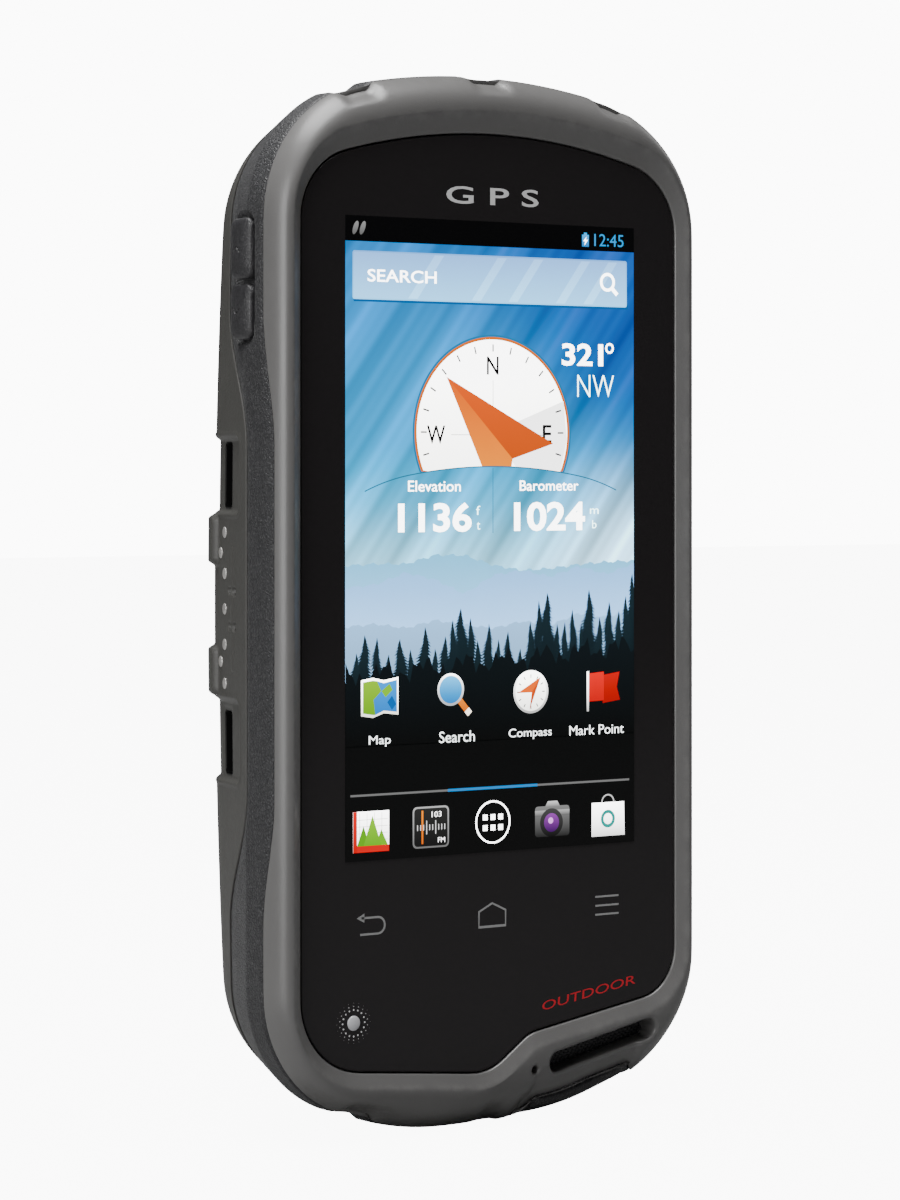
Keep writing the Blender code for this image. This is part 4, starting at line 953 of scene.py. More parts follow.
def drawIcons():
    # Map sheet
    patch([(-23.0, -10.7), (-21.0, -10.4), (-19.2, -10.8), (-16.7, -10.4), (-16.7, -15.7), (-19.2, -15.4),
           (-21.0, -16.0), (-23.0, -15.7)], ("f4f4f0", "dcdcd6"), 8)
    patch([(-22.7, -11.0), (-21.0, -10.8), (-20.3, -10.9), (-19.6, -12.3), (-20.9, -13.5), (-20.6, -15.6),
           (-21.0, -15.6), (-22.7, -15.35)], ("9dce3e", "7cb82c"), 9)
    patch([(-20.3, -10.9), (-19.2, -11.2), (-16.95, -10.8), (-16.95, -15.3), (-19.2, -15.05), (-20.6, -15.6),
           (-20.9, -13.5), (-19.6, -12.3)], ("3fa9e8", "2a8cd8"), 9)
    patch([(-19.6, -12.3), (-18.2, -11.3), (-17.7, -12.2), (-18.9, -13.2)], "8fca44", 9.5)
    patch([(-18.6, -13.9), (-17.8, -13.0), (-17.1, -14.2), (-17.8, -15.0)], "1f6fb8", 9.5)
    # Magnifier
    stroke([(-6.3, -13.9), (-4.5, -15.9)], 0.95, ("f0a040", "d8741c"), 8)
    stroke([(-4.9, -15.45), (-4.35, -16.05)], 0.95, "e9e4dc", 8.5)
    patch(circle((-7.7, -12.5), 2.3), ("f2f2f2", "b4b8bc"), 9)
    patch(circle((-7.7, -12.5), 1.95), ("7fd0f4", "2b93d6"), 9.5)
    # Compass
    patch(circle((6.45, -13.3), 3.1), ("fafafa", "bcbcbc"), 8)
    patch(circle((6.45, -13.3), 2.75), ("f4f4f2", "e4e4e2"), 8.5)
    for turn in np.arange(12) * math.pi / 6:
        a = (6.45 + 2.0 * math.cos(turn), -13.3 + 2.0 * math.sin(turn))
        b = (6.45 + 2.5 * math.cos(turn), -13.3 + 2.5 * math.sin(turn))
        stroke([a, b], 0.16, "3a3a3a", 9)
    patch([(8.2, -11.2), (6.6, -13.4), (4.1, -13.4)], "f08030", 9.5)
    patch([(8.2, -11.2), (6.6, -13.4), (6.2, -15.9)], "d8641e", 9.5)
    # Flag
    rectangle(16.6, -16.5, 16.95, -10.7, ("f4f4f4", "c4c4c4"), 8)
    patch([(16.95, -11.0), (19.7, -10.8), (19.7, -15.0), (16.95, -15.1)], ("f03434", "d41818"), 8)
    patch([(19.5, -11.3), (22.6, -10.9), (22.1, -13.1), (22.7, -15.0), (19.5, -15.4)], ("d82020", "b40e0e"), 7.5)
    labels = (("Map", -21.7, -18.0, -20.1, -18.5), ("Search", -9.7, -3.5, -20.0, -18.4),
              ("Compass", 2.5, 10.2, -20.1, -18.5), ("Mark Point", 13.4, 23.4, -19.9, -18.5))
    for text, left, right, low, high in labels:
        lettering(text, left, low, right, high, "e4e6e6", 8)
    # Height chart
    rectangle(-24.35, -34.7, -18.3, -29.0, ("f6f6f4", "e2e2de"), 8)
    for i in range(4):
        rectangle(-23.3 + i * 1.25, -33.7, -23.22 + i * 1.25, -29.2, "d2d2d0", 8.5)
        rectangle(-23.6, -30.2 - i * 0.95, -18.5, -30.12 - i * 0.95, "d2d2d0", 8.5)
    patch([(-23.7, -33.8), (-22.6, -31.0), (-21.6, -33.8)], "6cb32c", 9)
    patch([(-22.6, -33.8), (-21.1, -29.6), (-19.6, -33.8)], ("9bd348", "74bc2c"), 9.5)
    patch([(-20.6, -33.8), (-19.6, -31.6), (-18.5, -33.8)], "7fc236", 9)
    rectangle(-24.35, -34.7, -23.7, -29.0, ("e8463c", "d02a24"), 10)
    rectangle(-24.35, -34.7, -18.3, -33.8, "dc3a2e", 10)
    # Radio scale
    roundedPatch(-14.25, -34.7, -8.0, -28.85, 0.7, ("b4b4b4", "7c7c7c"), 8)
    roundedPatch(-14.0, -34.45, -8.25, -29.1, 0.55, ("30302f", "161616"), 8.5)
    for i in range(10):
        half = 0.95 if i in (3, 6) else 0.4
        rectangle(-13.5 + i * 0.52, -31.8 - half, -13.36 + i * 0.52, -31.8 + half, "d0d0d0", 9)
    rectangle(-12.75, -34.1, -12.45, -29.4, ("f6a23c", "e07c1c"), 9.5)
    lettering("103", -11.0, -30.4, -9.3, -29.6, "e8e8e8", 9)
    lettering("FM", -9.9, -34.0, -8.7, -33.3, "e8e8e8", 9)
    # Ring with six dots
    stroke(circle((-0.3, -31.65), 2.95, 64), 0.26, "f4f4f4", 8, closed=True)
    for x in (-1.65, -0.3, 1.05):
        for z in (-30.95, -32.45):
            rectangle(x - 0.4, z - 0.4, x + 0.4, z + 0.4, "f8f8f8", 8)
    # Camera
    roundedPatch(7.2, -34.3, 13.4, -29.9, 0.5, ("8c8c8c", "2a2a2a"), 8)
    patch([(9.0, -30.0), (9.5, -29.2), (11.2, -29.2), (11.7, -30.0)], ("c8c8c8", "8c8c8c"), 8.5)
    rectangle(7.2, -31.3, 13.4, -30.5, ("b4b4b4", "6c6c6c"), 8.5)
    patch(circle((10.15, -32.3), 2.05), ("4c4c4c", "0c0c0c"), 9)
    patch(circle((10.15, -32.3), 1.35), ("a05cb4", "4a1c66"), 9.5)
    patch(circle((10.0, -32.0), 0.45, 20), "d8a8e0", 10)
    # Bag with a plain ring on it
    stroke(circle((20.45, -29.9), 1.1, 20, 0.0, math.pi), 0.2, "c4c4c4", 8)
    patch([(17.5, -29.9), (23.4, -29.9), (23.55, -34.8), (17.45, -34.8)], ("fbfbfb", "d8d8d8"), 8.5)
    stroke(circle((20.45, -32.3), 1.05, 32), 0.5, "3aa8a0", 9, closed=True)


def drawPrint():
    # Printed marks on the glass outside the picture
    grey = "8f8f8f"
    turn = np.linspace(math.pi / 2, -math.pi / 2, 16)
    back = np.concatenate([[(-22.9, -43.85)], np.stack([-20.1 + 1.15 * np.cos(turn), -45.0 + 1.15 * np.sin(turn)], 1),
                           [(-23.1, -46.15)]])
    stroke(back, 0.3, grey, 1)
    patch([(-23.7, -43.85), (-22.4, -43.2), (-22.4, -44.5)], grey, 1)
    stroke([(-0.35, -43.25), (2.0, -44.35), (2.0, -46.55), (-2.7, -46.55), (-2.7, -44.35)], 0.27, grey, 1, closed=True)
    for z in (-43.6, -44.9, -46.2):
        rectangle(18.2, z - 0.14, 22.5, z + 0.14, grey, 1)
    lettering("G P S", -8.4, 56.4, 7.9, 58.9, "d2d2d2", 1, bold=0.1)
    lettering("OUTDOOR", 8.5, -59.4, 25.8, -58.1, "c8202c", 1, tilt=math.radians(8.7), lean=0.25)
    centre = np.array(glass["sensorCentre"])
    for count, reach, size, colour in ((16, 1.85, 0.13, "e0e0e0"), (18, 2.35, 0.085, "a8a8a8"), (20, 2.8, 0.05, "6c6c6c")):
        for turn in (np.arange(count) + 0.5 * (count == 18)) * 2 * math.pi / count:
            patch(circle(centre + reach * np.array([math.cos(turn), math.sin(turn)]), size, 8), colour, 1)


def lit(colours):
    # Brightness for a glowing face: each channel lifts by 1.19 m^2 / (1 - m) of itself, with m leaning
    # towards the colour's mean, then gives up a share of the mean so that rich colours stay rich
    value = np.minimum(colours, 0.88)
    middle = value + (value.mean(1, keepdims=True) - value) * screen["blend"]
    value = value * (1 + 1.19 * middle ** 2 / (1 - middle))
    return np.maximum(value - value.mean(1, keepdims=True) * screen["spill"], 0.0002) / (1 - screen["spill"])


def pictureMesh(name, glowing=False):
    # Puts the layers drawn so far into one piece with their colours
    points = np.concatenate(picture["points"])
    piece = meshFromFaces(name, points, np.zeros((0, 4), int), np.concatenate(picture["triangles"]), smooth=False)
    ink = piece.data.attributes.new("ink", "FLOAT_COLOR", "POINT")
    colours = np.concatenate(picture["colours"])
    colours = lit(colours) if glowing else colours
    ink.data.foreach_set("color", np.concatenate([colours, np.ones((len(colours), 1))], 1).astype(np.float32).ravel())
    for key in picture:
        picture[key].clear()
    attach(piece, "case")
    return piece


def makePicture():
    rectangle(screen["left"], screen["bottom"], screen["right"], screen["top"], "020203", 0.2)
    drawSky(1)
    drawForest()
    drawCompass()
    drawBars()
    drawIcons()
    return pictureMesh("display_picture", glowing=True)


def makePrint():
    drawPrint()
    return pictureMesh("glass_print")


# Battery door

door = {
    "outline": {"halfX": 23.5, "low": -59.0, "high": 29.0, "radius": 9.0},
    "latchZ": -47.0,
    "profile": ((5.0, 18.1), (3.6, 17.98), (2.4, 17.6), (1.4, 16.95), (0.7, 16.2), (0.25, 15.2), (0.0, 14.0)),
    "wall": 1.8,
    "seatY": 8.7,
    "recessRadius": 8.6,
    "recessY": 15.1,
    "boreRadius": 2.4,
    "panel": {"halfX": 15.5, "low": -30.0, "high": 21.0, "radius": 5.0, "deep": 0.4},
    "ribPitch": 5.1,
}


def rectOutline(shape, inset=0.0, steps=60, runs=160):
    left, right = -shape["halfX"] + inset, shape["halfX"] - inset
    low, high = shape["low"] + inset, shape["high"] - inset
    radius = max(shape["radius"] - inset, 0.4)
    corners = [(left, high, radius), (right, high, radius), (right, low, radius), (left, low, radius)]
    return roundedOutline(corners, steps, runs)


def evenly(outline, spacing):
    # Places at even distances along a closed outline, as fractional point numbers
    step = np.linalg.norm(np.roll(outline, -1, 0) - outline, axis=1)
    total = np.concatenate([[0], np.cumsum(step)])
    count = int(round(total[-1] / spacing))
    return np.interp(np.arange(count) * total[-1] / count, total, np.arange(len(total)))


def makeDoor():
    # Columns run out from the latch: bore, recess, back face, rounded edge, side, and back inside
    outline = rectOutline(door["outline"])
    places = evenly(outline, 0.75)
    centre = np.array([0.0, door["latchZ"]])

    def outlineRing(inset, y):
        return ring(sampleAt(rectOutline(door["outline"], inset), places)[0], y)

    direction = sampleAt(outline, places)[0] - centre
    direction /= np.linalg.norm(direction, axis=1, keepdims=True)

    def roundRing(radius, y):
        return ring(centre + direction * radius, y)

    recess, top = door["recessRadius"], door["profile"][0][1]
    inner = fillRows([roundRing(door["boreRadius"], 9.0), roundRing(door["boreRadius"], door["recessY"] - 0.2),
                      roundRing(door["boreRadius"] + 0.2, door["recessY"]), roundRing(recess - 0.25, door["recessY"]),
                      roundRing(recess, door["recessY"] + 0.25), roundRing(recess, top - 0.35),
                      roundRing(recess + 0.35, top)], [4, 1, 10, 2, 6, 4])
    back = fillRows([roundRing(recess + 0.35, top), outlineRing(*door["profile"][0])], [130])[1:]
    panel = door["panel"]
    middle, half = (panel["low"] + panel["high"]) / 2, (panel["high"] - panel["low"]) / 2
    sdf = roundedBoxSdf(back[..., 0], back[..., 2] - middle, panel["halfX"], half, panel["radius"])
    rib = 0.5 + 0.5 * np.cos(2 * math.pi * (back[..., 2] - middle) / door["ribPitch"])
    ribs = 0.75 * smoothStep(0.35, 0.75, rib) * smoothStep(-1.2, -2.2, sdf)
    back[..., 1] -= panel["deep"] * smoothStep(0.5, -0.5, sdf) * (1 - ribs)
    # A finger scallop at the lower edge, in front of the latch
    scallop = np.hypot(back[..., 0] / 1.6, back[..., 2] + 59.0)
    back[..., 1] -= 0.8 * smoothStep(4.6, 2.2, scallop)
    sides = fillRows([outlineRing(inset, y) for inset, y in door["profile"]]
                     + [outlineRing(0.0, door["seatY"] + 0.2), outlineRing(0.2, door["seatY"])],
                     [3, 3, 3, 3, 3, 3, 12, 2], soften=0.7)[1:]
    wall, seat = door["wall"], door["seatY"]
    inside = fillRows([outlineRing(wall, seat), outlineRing(wall, 14.0), outlineRing(wall + 1.2, 16.0),
                       roundRing(recess + 1.4, 16.0), roundRing(recess + 1.4, 14.9), roundRing(7.0, 9.0)],
                      [6, 4, 8, 2, 4])
    piece = meshFromGrid("door_shell", stack([inner, back, sides, inside]), closedRows=True)
    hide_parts("battery_door")
    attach(piece, "door")
    return piece


# Latch: a knob with a slot, and a ring that folds into it

latch = {
    "z": -47.0,
    "knobRadius": 3.4,
    "knobTop": 17.9,
    "slotHalf": 1.1,
    "slotFloor": 15.45,
    "ringY": 16.4,
    "ringHalf": 5.4,
    "ringDrop": 7.3,
    "ringThick": 0.75,
}


def turnedGrid(profile, centre, steps=72):
    # A profile of radius and depth carried round an axis that runs front to back through centre
    radius, y = np.array(profile, float).T
    turn = np.arange(steps) * 2 * math.pi / steps
    x = centre[0] + radius[:, None] * np.cos(turn)
    z = centre[1] + radius[:, None] * np.sin(turn)
    return np.stack([x, np.broadcast_to(y[:, None], x.shape), z], 2)


def fineProfile(points, spacing=0.15):
    # More points along the straight runs of a profile
    points = np.array(points, float)
    runs = [points[:1]]
    for a, b in zip(points[:-1], points[1:]):
        count = max(int(np.linalg.norm(b - a) / spacing), 1)
        share = (np.arange(count) + 1)[:, None] / count
        runs.append(a * (1 - share) + b * share)
    return np.concatenate(runs)


def makeLatch():
    top, radius = latch["knobTop"], latch["knobRadius"]
    profile = fineProfile([(2.0, 4.7), (2.0, 15.3), (3.2, 15.3), (radius, 15.5), (radius, top - 0.45),
                           (radius - 0.15, top - 0.15), (radius - 0.5, top), (0.12, top)], 0.12)
    grid = turnedGrid(profile, (0.0, latch["z"]), 144)
    across = np.abs(grid[..., 2] - latch["z"])
    depth = np.maximum(grid[..., 1] - latch["slotFloor"], 0)
    grid[..., 1] -= depth * smoothStep(latch["slotHalf"] + 0.1, latch["slotHalf"] - 0.05, across)
    knob = meshFromGrid("latch_knob", grid, caps=(0, -1))
    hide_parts("latch_stud")
    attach(knob, "latch")

    half, drop = latch["ringHalf"], latch["ringDrop"]
    corners = [(-half, 0.0, 1.3), (half, 0.0, 1.3), (half, -drop, 4.9), (-half, -drop, 4.9)]
    path = roundedOutline(corners, 16, 10)
    normal = outwardNormals(path)
    turn = np.arange(20) * 2 * math.pi / 20
    grid = np.zeros((len(path), len(turn), 3))
    grid[..., 0] = path[:, :1] + normal[:, :1] * latch["ringThick"] * np.cos(turn)
    grid[..., 1] = latch["ringY"] + latch["ringThick"] * np.sin(turn)
    grid[..., 2] = latch["z"] + path[:, 1:] + normal[:, 1:] * latch["ringThick"] * np.cos(turn)
    loop = meshFromGrid("latch_loop", grid, closedRows=True)
    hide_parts("latch_ring")
    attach(loop, "ring")
    return knob, loop


# Camera and its flash

lensParts = {
    "z": 50.0,
    "mount": {"halfX": 12.75, "low": 41.5, "high": 58.5, "radius": 8.4},
    "mountX": 4.25,
    "mountTop": 11.6,
    "flashX": 10.5,
}


def makeLens():
    # Raised mount with a round opening, its columns running out from the lens axis
    outline = rectOutline(lensParts["mount"], 0, 60, 40) + [lensParts["mountX"], 0]
    places = evenly(outline, 0.5)
    centre = np.array([0.0, lensParts["z"]])
    direction = sampleAt(outline, places)[0] - centre
    direction /= np.linalg.norm(direction, axis=1, keepdims=True)
    top = lensParts["mountTop"]

    def edge(inset, y):
        inner = rectOutline(lensParts["mount"], inset, 60, 40) + [lensParts["mountX"], 0]
        return ring(sampleAt(inner, places)[0], y)

    def opening(radius, y):
        return ring(centre + direction * radius, y)

    grid = fillRows([opening(4.7, 9.8), opening(4.7, top - 0.2), opening(4.9, top), edge(1.2, top),
                     edge(0.5, top - 0.12), edge(0.12, top - 0.5), edge(0.0, top - 1.0), edge(0.0, 9.8)],
                    [2, 1, 14, 3, 3, 3, 2])
    mount = meshFromGrid("lens_mount", grid, closedRows=True)
    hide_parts("rear_housing")
    trim = meshFromGrid("lens_trim", turnedGrid(fineProfile(
        [(5.0, top), (7.6, top), (7.6, 12.1), (7.45, 12.6), (7.1, 12.9), (6.4, 13.0), (5.9, 12.95), (5.6, 12.7),
         (5.1, 12.2)], 0.2), (0, lensParts["z"]), 120), closedRows=True)
    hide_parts("camera_trim")
    window = meshFromGrid("lens_window", turnedGrid(fineProfile(
        [(4.4, 10.2), (4.4, 10.9), (4.3, 11.0), (2.6, 11.0), (2.5, 10.7), (2.1, 10.7), (1.9, 10.95), (1.4, 11.12),
         (0.7, 11.22), (0.05, 11.25)], 0.12), (0, lensParts["z"]), 96), caps=(0, -1))
    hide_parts("camera_window")
    flash = meshFromGrid("flash_window", turnedGrid(fineProfile(
        [(2.5, 9.4), (2.5, 11.75), (2.35, 11.9), (1.9, 11.9), (1.8, 11.75), (0.05, 11.75)], 0.1),
        (lensParts["flashX"], lensParts["z"]), 72), caps=(0, -1))
    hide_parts("flash_lens")
    for piece, name in ((mount, "housing_plastic"), (trim, "black_plastic"), (window, "lens"), (flash, "clear")):
        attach(piece, "case")
    return mount, trim, window, flash


# Screws, contacts, light sensor and speaker grille

fittings = {
    "screws": ((-19.0, 34.5, 11.1), (19.0, 34.5, 11.1), (-18.5, -43.5, 8.65), (18.5, -43.5, 8.65)),
    "contactColumns": (-0.15, 1.6),
    "contacts": ((9.8, 0), (6.9, 1), (4.0, 0), (-1.0, 0), (-6.0, 0), (-8.5, 1), (-11.5, 0)),
    "contactRadius": 0.8,
    "sensorRadius": 1.05,
}


def mergedGrids(name, grids):
    # Several grids as a single piece, each closed by a fan at its first and at its last row
    points, quads, triangles, base = [], [], [], 0
    for grid in grids:
        rows, columns = grid.shape[:2]
        index = np.arange(rows * columns).reshape(rows, columns) + base
        up, down = index[:-1], index[1:]
        quads.append(np.stack([up, np.roll(up, -1, 1), np.roll(down, -1, 1), down], 2).reshape(-1, 4))
        points.append(grid.reshape(-1, 3))
        base += rows * columns
        for cap in (0, -1):
            points.append(grid[cap].mean(0)[None])
            fan = np.stack([index[cap], np.roll(index[cap], -1), np.full(columns, base)], 1)
            triangles.append(fan[:, ::-1] if cap == 0 else fan)
            base += 1
    return meshFromFaces(name, np.concatenate(points), np.concatenate(quads), np.concatenate(triangles))


def makeFittings():
    grids = []
    for x, z, top in fittings["screws"]:
        profile = fineProfile([(1.6, top - 1.1), (1.6, top - 0.2), (1.4, top), (0.05, top)], 0.07)
        grid = turnedGrid(profile, (x, z), 72)
        away = np.hypot(grid[..., 0] - x, grid[..., 2] - z)
        turn = np.arctan2(grid[..., 2] - z, grid[..., 0] - x)
        star = away - 0.78 * (1 + 0.16 * np.cos(6 * turn))
        grid[..., 1] -= 0.55 * smoothStep(0.05, -0.05, star) * (away < 1.3)
        grids.append(grid)
    screws = mergedGrids("star_screws", grids)
    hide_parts("case_screw_1", "case_screw_2", "case_screw_3", "case_screw_4")

    slope = math.atan(case["taperSlope"])
    outward = np.array([-math.cos(slope), math.sin(slope), 0.0])
    along = np.array([math.sin(slope), math.cos(slope), 0.0])
    upward = np.array([0.0, 0.0, 1.0])
    radius = fittings["contactRadius"]
    profile = np.array([(radius, -0.9), (radius, 0.02), (radius - 0.08, 0.09), (radius * 0.6, 0.13),
                        (radius * 0.25, 0.15)])
    turn = np.arange(40) * 2 * math.pi / 40
    grids = []
    for z, column in fittings["contacts"]:
        y = fittings["contactColumns"][column]
        middle = np.array([-(case["halfWidth"] - float(taperInset(np.array(y)))), y, z])
        flat = np.cos(turn)[:, None] * along + np.sin(turn)[:, None] * upward
        grids.append(middle + profile[:, 0, None, None] * flat + profile[:, 1, None, None] * outward)
    contacts = mergedGrids("contact_pads", grids)
    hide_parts(*["dock_contact_%d" % (i + 1) for i in range(7)])

    centre = glass["sensorCentre"]
    size = fittings["sensorRadius"]
    dome = np.linspace(0.02, 1, 12)
    profile = [(size, -16.0), (size, -16.86)] + [(size * r, -16.9 - 0.38 * math.sqrt(1 - 0.96 * r * r)) for r in dome[::-1]]
    sensor = meshFromGrid("sensor_dome", turnedGrid(profile, centre, 48), caps=(0, -1))
    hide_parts("sensor_lens")

    # Grille: a thin plate with rows of round dimples, set across the speaker slot
    length, height = bezel["slotLength"] - 0.8, bezel["slotHeight"] - 0.7
    u, v = np.meshgrid(np.linspace(-length / 2, length / 2, 190), np.linspace(-height / 2, height / 2, 27))
    dimple = np.cos(u * 2 * math.pi / 0.8) * np.cos(v * 2 * math.pi / 0.8)
    y = -14.3 + 0.22 * smoothStep(0.1, 0.6, dimple)
    c, s = math.cos(bezel["slotTilt"]), math.sin(bezel["slotTilt"])
    x = bezel["slotCentre"][0] + u * c - v * s
    z = bezel["slotCentre"][1] + u * s + v * c
    front = np.stack([x, y, z], 2)
    behind = front.copy()
    behind[..., 1] = -13.95
    rows, columns = x.shape
    index = np.arange(rows * columns).reshape(rows, columns)
    a, b, c, d = index[:-1, :-1], index[:-1, 1:], index[1:, 1:], index[1:, :-1]
    quads = np.stack([a, b, c, d], 2).reshape(-1, 4)
    border = gridBorder(index)
    after, total = np.roll(border, -1), rows * columns
    sides = np.stack([border, border + total, after + total, after], 1)
    grille = meshFromFaces("speaker_grille", np.concatenate([front.reshape(-1, 3), behind.reshape(-1, 3)]),
                           np.concatenate([quads, quads[:, ::-1] + total, sides]))
    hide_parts("speaker_mesh")
    for piece, name in ((screws, "steel"), (contacts, "contact_metal"), (sensor, "clear"), (grille, "black_plastic")):
        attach(piece, "case")
    return screws, contacts, sensor, grille


# Keys and port covers

keys = {
    "volume_up": {"side": -1, "y": -8.2, "z": 49.4, "length": 8.6, "width": 5.6, "arrow": 1,
                  "node": "volume_up_key", "body": "volume_up"},
    "volume_down": {"side": -1, "y": -8.2, "z": 40.6, "length": 7.8, "width": 5.6, "arrow": -1,
                    "node": "volume_down_key", "body": "volume_down"},
    "power": {"side": 1, "y": -8.2, "z": 51.0, "length": 8.6, "width": 5.6, "arrow": 0,
              "node": "power_key", "body": "power"},
}
covers = {
    "usb_flap": {"y": (-11.6, -4.8), "z": (-57.0, -41.4), "node": "usb_cover", "body": "usb_flap"},
    "audio_flap": {"y": (-9.5, -3.1), "z": (38.2, 44.8), "node": "audio_cover", "body": "audio_flap"},
}


def arrowSdf(u, v, point):
    # Rough distance to a small chevron that points up or down
    return np.maximum(np.abs(np.abs(u) * 0.9 + v * point - 0.35) - 0.16, np.abs(u) - 0.85)


def pad(name, side, y, z, halfY, halfZ, corner, rows, relief=None):
    # Rounded rectangles seen from the side, each row with its outward place and inset, closed at both ends
    corners = [(-halfY, halfZ, corner), (halfY, halfZ, corner), (halfY, -halfZ, corner), (-halfY, -halfZ, corner)]
    outline = roundedOutline(corners, 12, 12)
    rings = []
    for x, inset, share in rows:
        scale = (np.array([halfY, halfZ]) - inset) / [halfY, halfZ]
        points = outline * scale * share
        rings.append(np.stack([np.full(len(points), x), points[:, 0], points[:, 1]], 1))
    grid = np.array(rings)
    if relief is not None:
        grid[..., 0] += relief(grid[..., 1], grid[..., 2]) * (grid[..., 0] > rows[-1][0] - 0.6)
    grid[..., 0] *= side
    grid[..., 1] += y
    grid[..., 2] += z
    return meshFromGrid(name, grid, caps=(0, -1))


def makeKeys():
    made = []
    for name, key in keys.items():
        out = 37.9
        rows = [(33.0, -0.7, 1), (33.8, -0.7, 1), (33.82, 0, 1), (36.6, 0, 1), (37.0, 0.06, 1), (37.25, 0.2, 1),
                (37.42, 0.42, 1), (37.52, 0.75, 1)]
        rows += [(out - 0.36 * r ** 2, 0.75, r) for r in np.linspace(1, 0.04, 20)[1:]]

        def relief(y, z):
            if key["arrow"]:
                return -0.22 * smoothStep(0.08, -0.06, arrowSdf(y - 0.35, z, key["arrow"]))
            away = np.hypot(y, z)
            bar = np.maximum(np.abs(y) - 0.14, np.abs(z - 0.95) - 0.75)
            gap = (np.abs(y) < 0.5) & (z > 0)
            mark = np.minimum(np.where(gap, 1.0, np.abs(away - 1.15) - 0.16), bar)
            return -0.2 * smoothStep(0.08, -0.06, mark)

        piece = pad(name + "_pad", key["side"], key["y"], key["z"], key["width"] / 2, key["length"] / 2, 1.5,
                    rows, relief)
        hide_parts(key["node"])
        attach(piece, key["body"])
        made.append(piece)
    return made


def makeCovers():
    made = []
    for name, cover in covers.items():
        (front, rear), (low, high) = cover["y"], cover["z"]
        rows = [(36.0, 0.1, 1), (36.1, 0, 1), (37.0, 0, 1), (37.25, 0.08, 1), (37.42, 0.25, 1), (37.5, 0.5, 1)]
        rows += [(37.5, 0.5, r) for r in np.linspace(1, 0.03, 26)[1:]]
        halfZ = (high - low) / 2

        def relief(y, z):
            # A thumb notch at the free end and a shallow frame line
            notch = np.hypot(y, (z - halfZ + 0.2) * 1.2)
            frame = roundedBoxSdf(y, z, (rear - front) / 2 - 1.1, halfZ - 1.1, 0.8)
            return -0.28 * smoothStep(1.5, 0.9, notch) - 0.1 * np.exp(-(frame / 0.14) ** 2)

        piece = pad(name + "_pad", 1, (front + rear) / 2, (low + high) / 2, (rear - front) / 2, halfZ, 1.5, rows, relief)
        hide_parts(cover["node"])
        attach(piece, cover["body"])
        made.append(piece)
    return made


# Finishes: shared node groups first, then one material for each finish


def newGroup(name, inputs, outputs):
    group = bpy.data.node_groups.new(name, "ShaderNodeTree")
    for label, kind, value in inputs:
        socket = group.interface.new_socket(label, in_out="INPUT", socket_type=kind)
        if value is not None:
            socket.default_value = value
    for label, kind in outputs:
        group.interface.new_socket(label, in_out="OUTPUT", socket_type=kind)
    start, end = group.nodes.new("NodeGroupInput"), group.nodes.new("NodeGroupOutput")
    return group, start, end


def node(tree, kind, settings=None, inputs=None, links=None):
    # Adds a node, sets its options and constants, and joins its inputs to other nodes' outputs
    made = tree.nodes.new(kind)
    for key, value in (settings or {}).items():
        setattr(made, key, value)
    for key, value in (inputs or {}).items():
        made.inputs[key].default_value = value
    for key, source in (links or {}).items():
        tree.links.new(source, made.inputs[key])
    return made


def mathNode(tree, operation, first, second=None, clamp=False):
    made = tree.nodes.new("ShaderNodeMath")
    made.operation, made.use_clamp = operation, clamp
    for i, value in enumerate((first, second)):
        if isinstance(value, (int, float)):
            made.inputs[i].default_value = value
        elif value is not None:
            tree.links.new(value, made.inputs[i])
    return made.outputs[0]


def mixColour(tree, share, first, second):
    made = tree.nodes.new("ShaderNodeMix")
    made.data_type = "RGBA"
    for index, value in ((0, share), (6, first), (7, second)):
        if isinstance(value, (int, float, tuple)):
            made.inputs[index].default_value = value
        else:
            tree.links.new(value, made.inputs[index])
    return made.outputs[2]


def makeToneGroup():
    # Slow drift of a colour between a darker and a lighter tone, with finer mottling on top
    group, start, end = newGroup("toneDrift", [
        ("Vector", "NodeSocketVector", None), ("Color", "NodeSocketColor", (0.1, 0.1, 0.1, 1)),
        ("Scale", "NodeSocketFloat", 60.0), ("Amount", "NodeSocketFloat", 0.15)],
        [("Color", "NodeSocketColor"), ("Value", "NodeSocketFloat")])
    slow = node(group, "ShaderNodeTexNoise", inputs={"Detail": 3.0},
                links={"Vector": start.outputs["Vector"], "Scale": start.outputs["Scale"]})
    fineScale = mathNode(group, "MULTIPLY", start.outputs["Scale"], 14.0)
    fine = node(group, "ShaderNodeTexNoise", inputs={"Detail": 2.0},
                links={"Vector": start.outputs["Vector"], "Scale": fineScale})
    both = mathNode(group, "ADD", mathNode(group, "MULTIPLY", slow.outputs["Fac"], 0.7),
                    mathNode(group, "MULTIPLY", fine.outputs["Fac"], 0.3))
    centred = mathNode(group, "MULTIPLY", mathNode(group, "SUBTRACT", both, 0.5), 2.0)
    gain = mathNode(group, "ADD", mathNode(group, "MULTIPLY", centred, start.outputs["Amount"]), 1.0)
    scaled = node(group, "ShaderNodeVectorMath", {"operation": "SCALE"},
                  links={0: start.outputs["Color"], "Scale": gain})
    group.links.new(scaled.outputs[0], end.inputs["Color"])
    group.links.new(both, end.inputs["Value"])
    return group


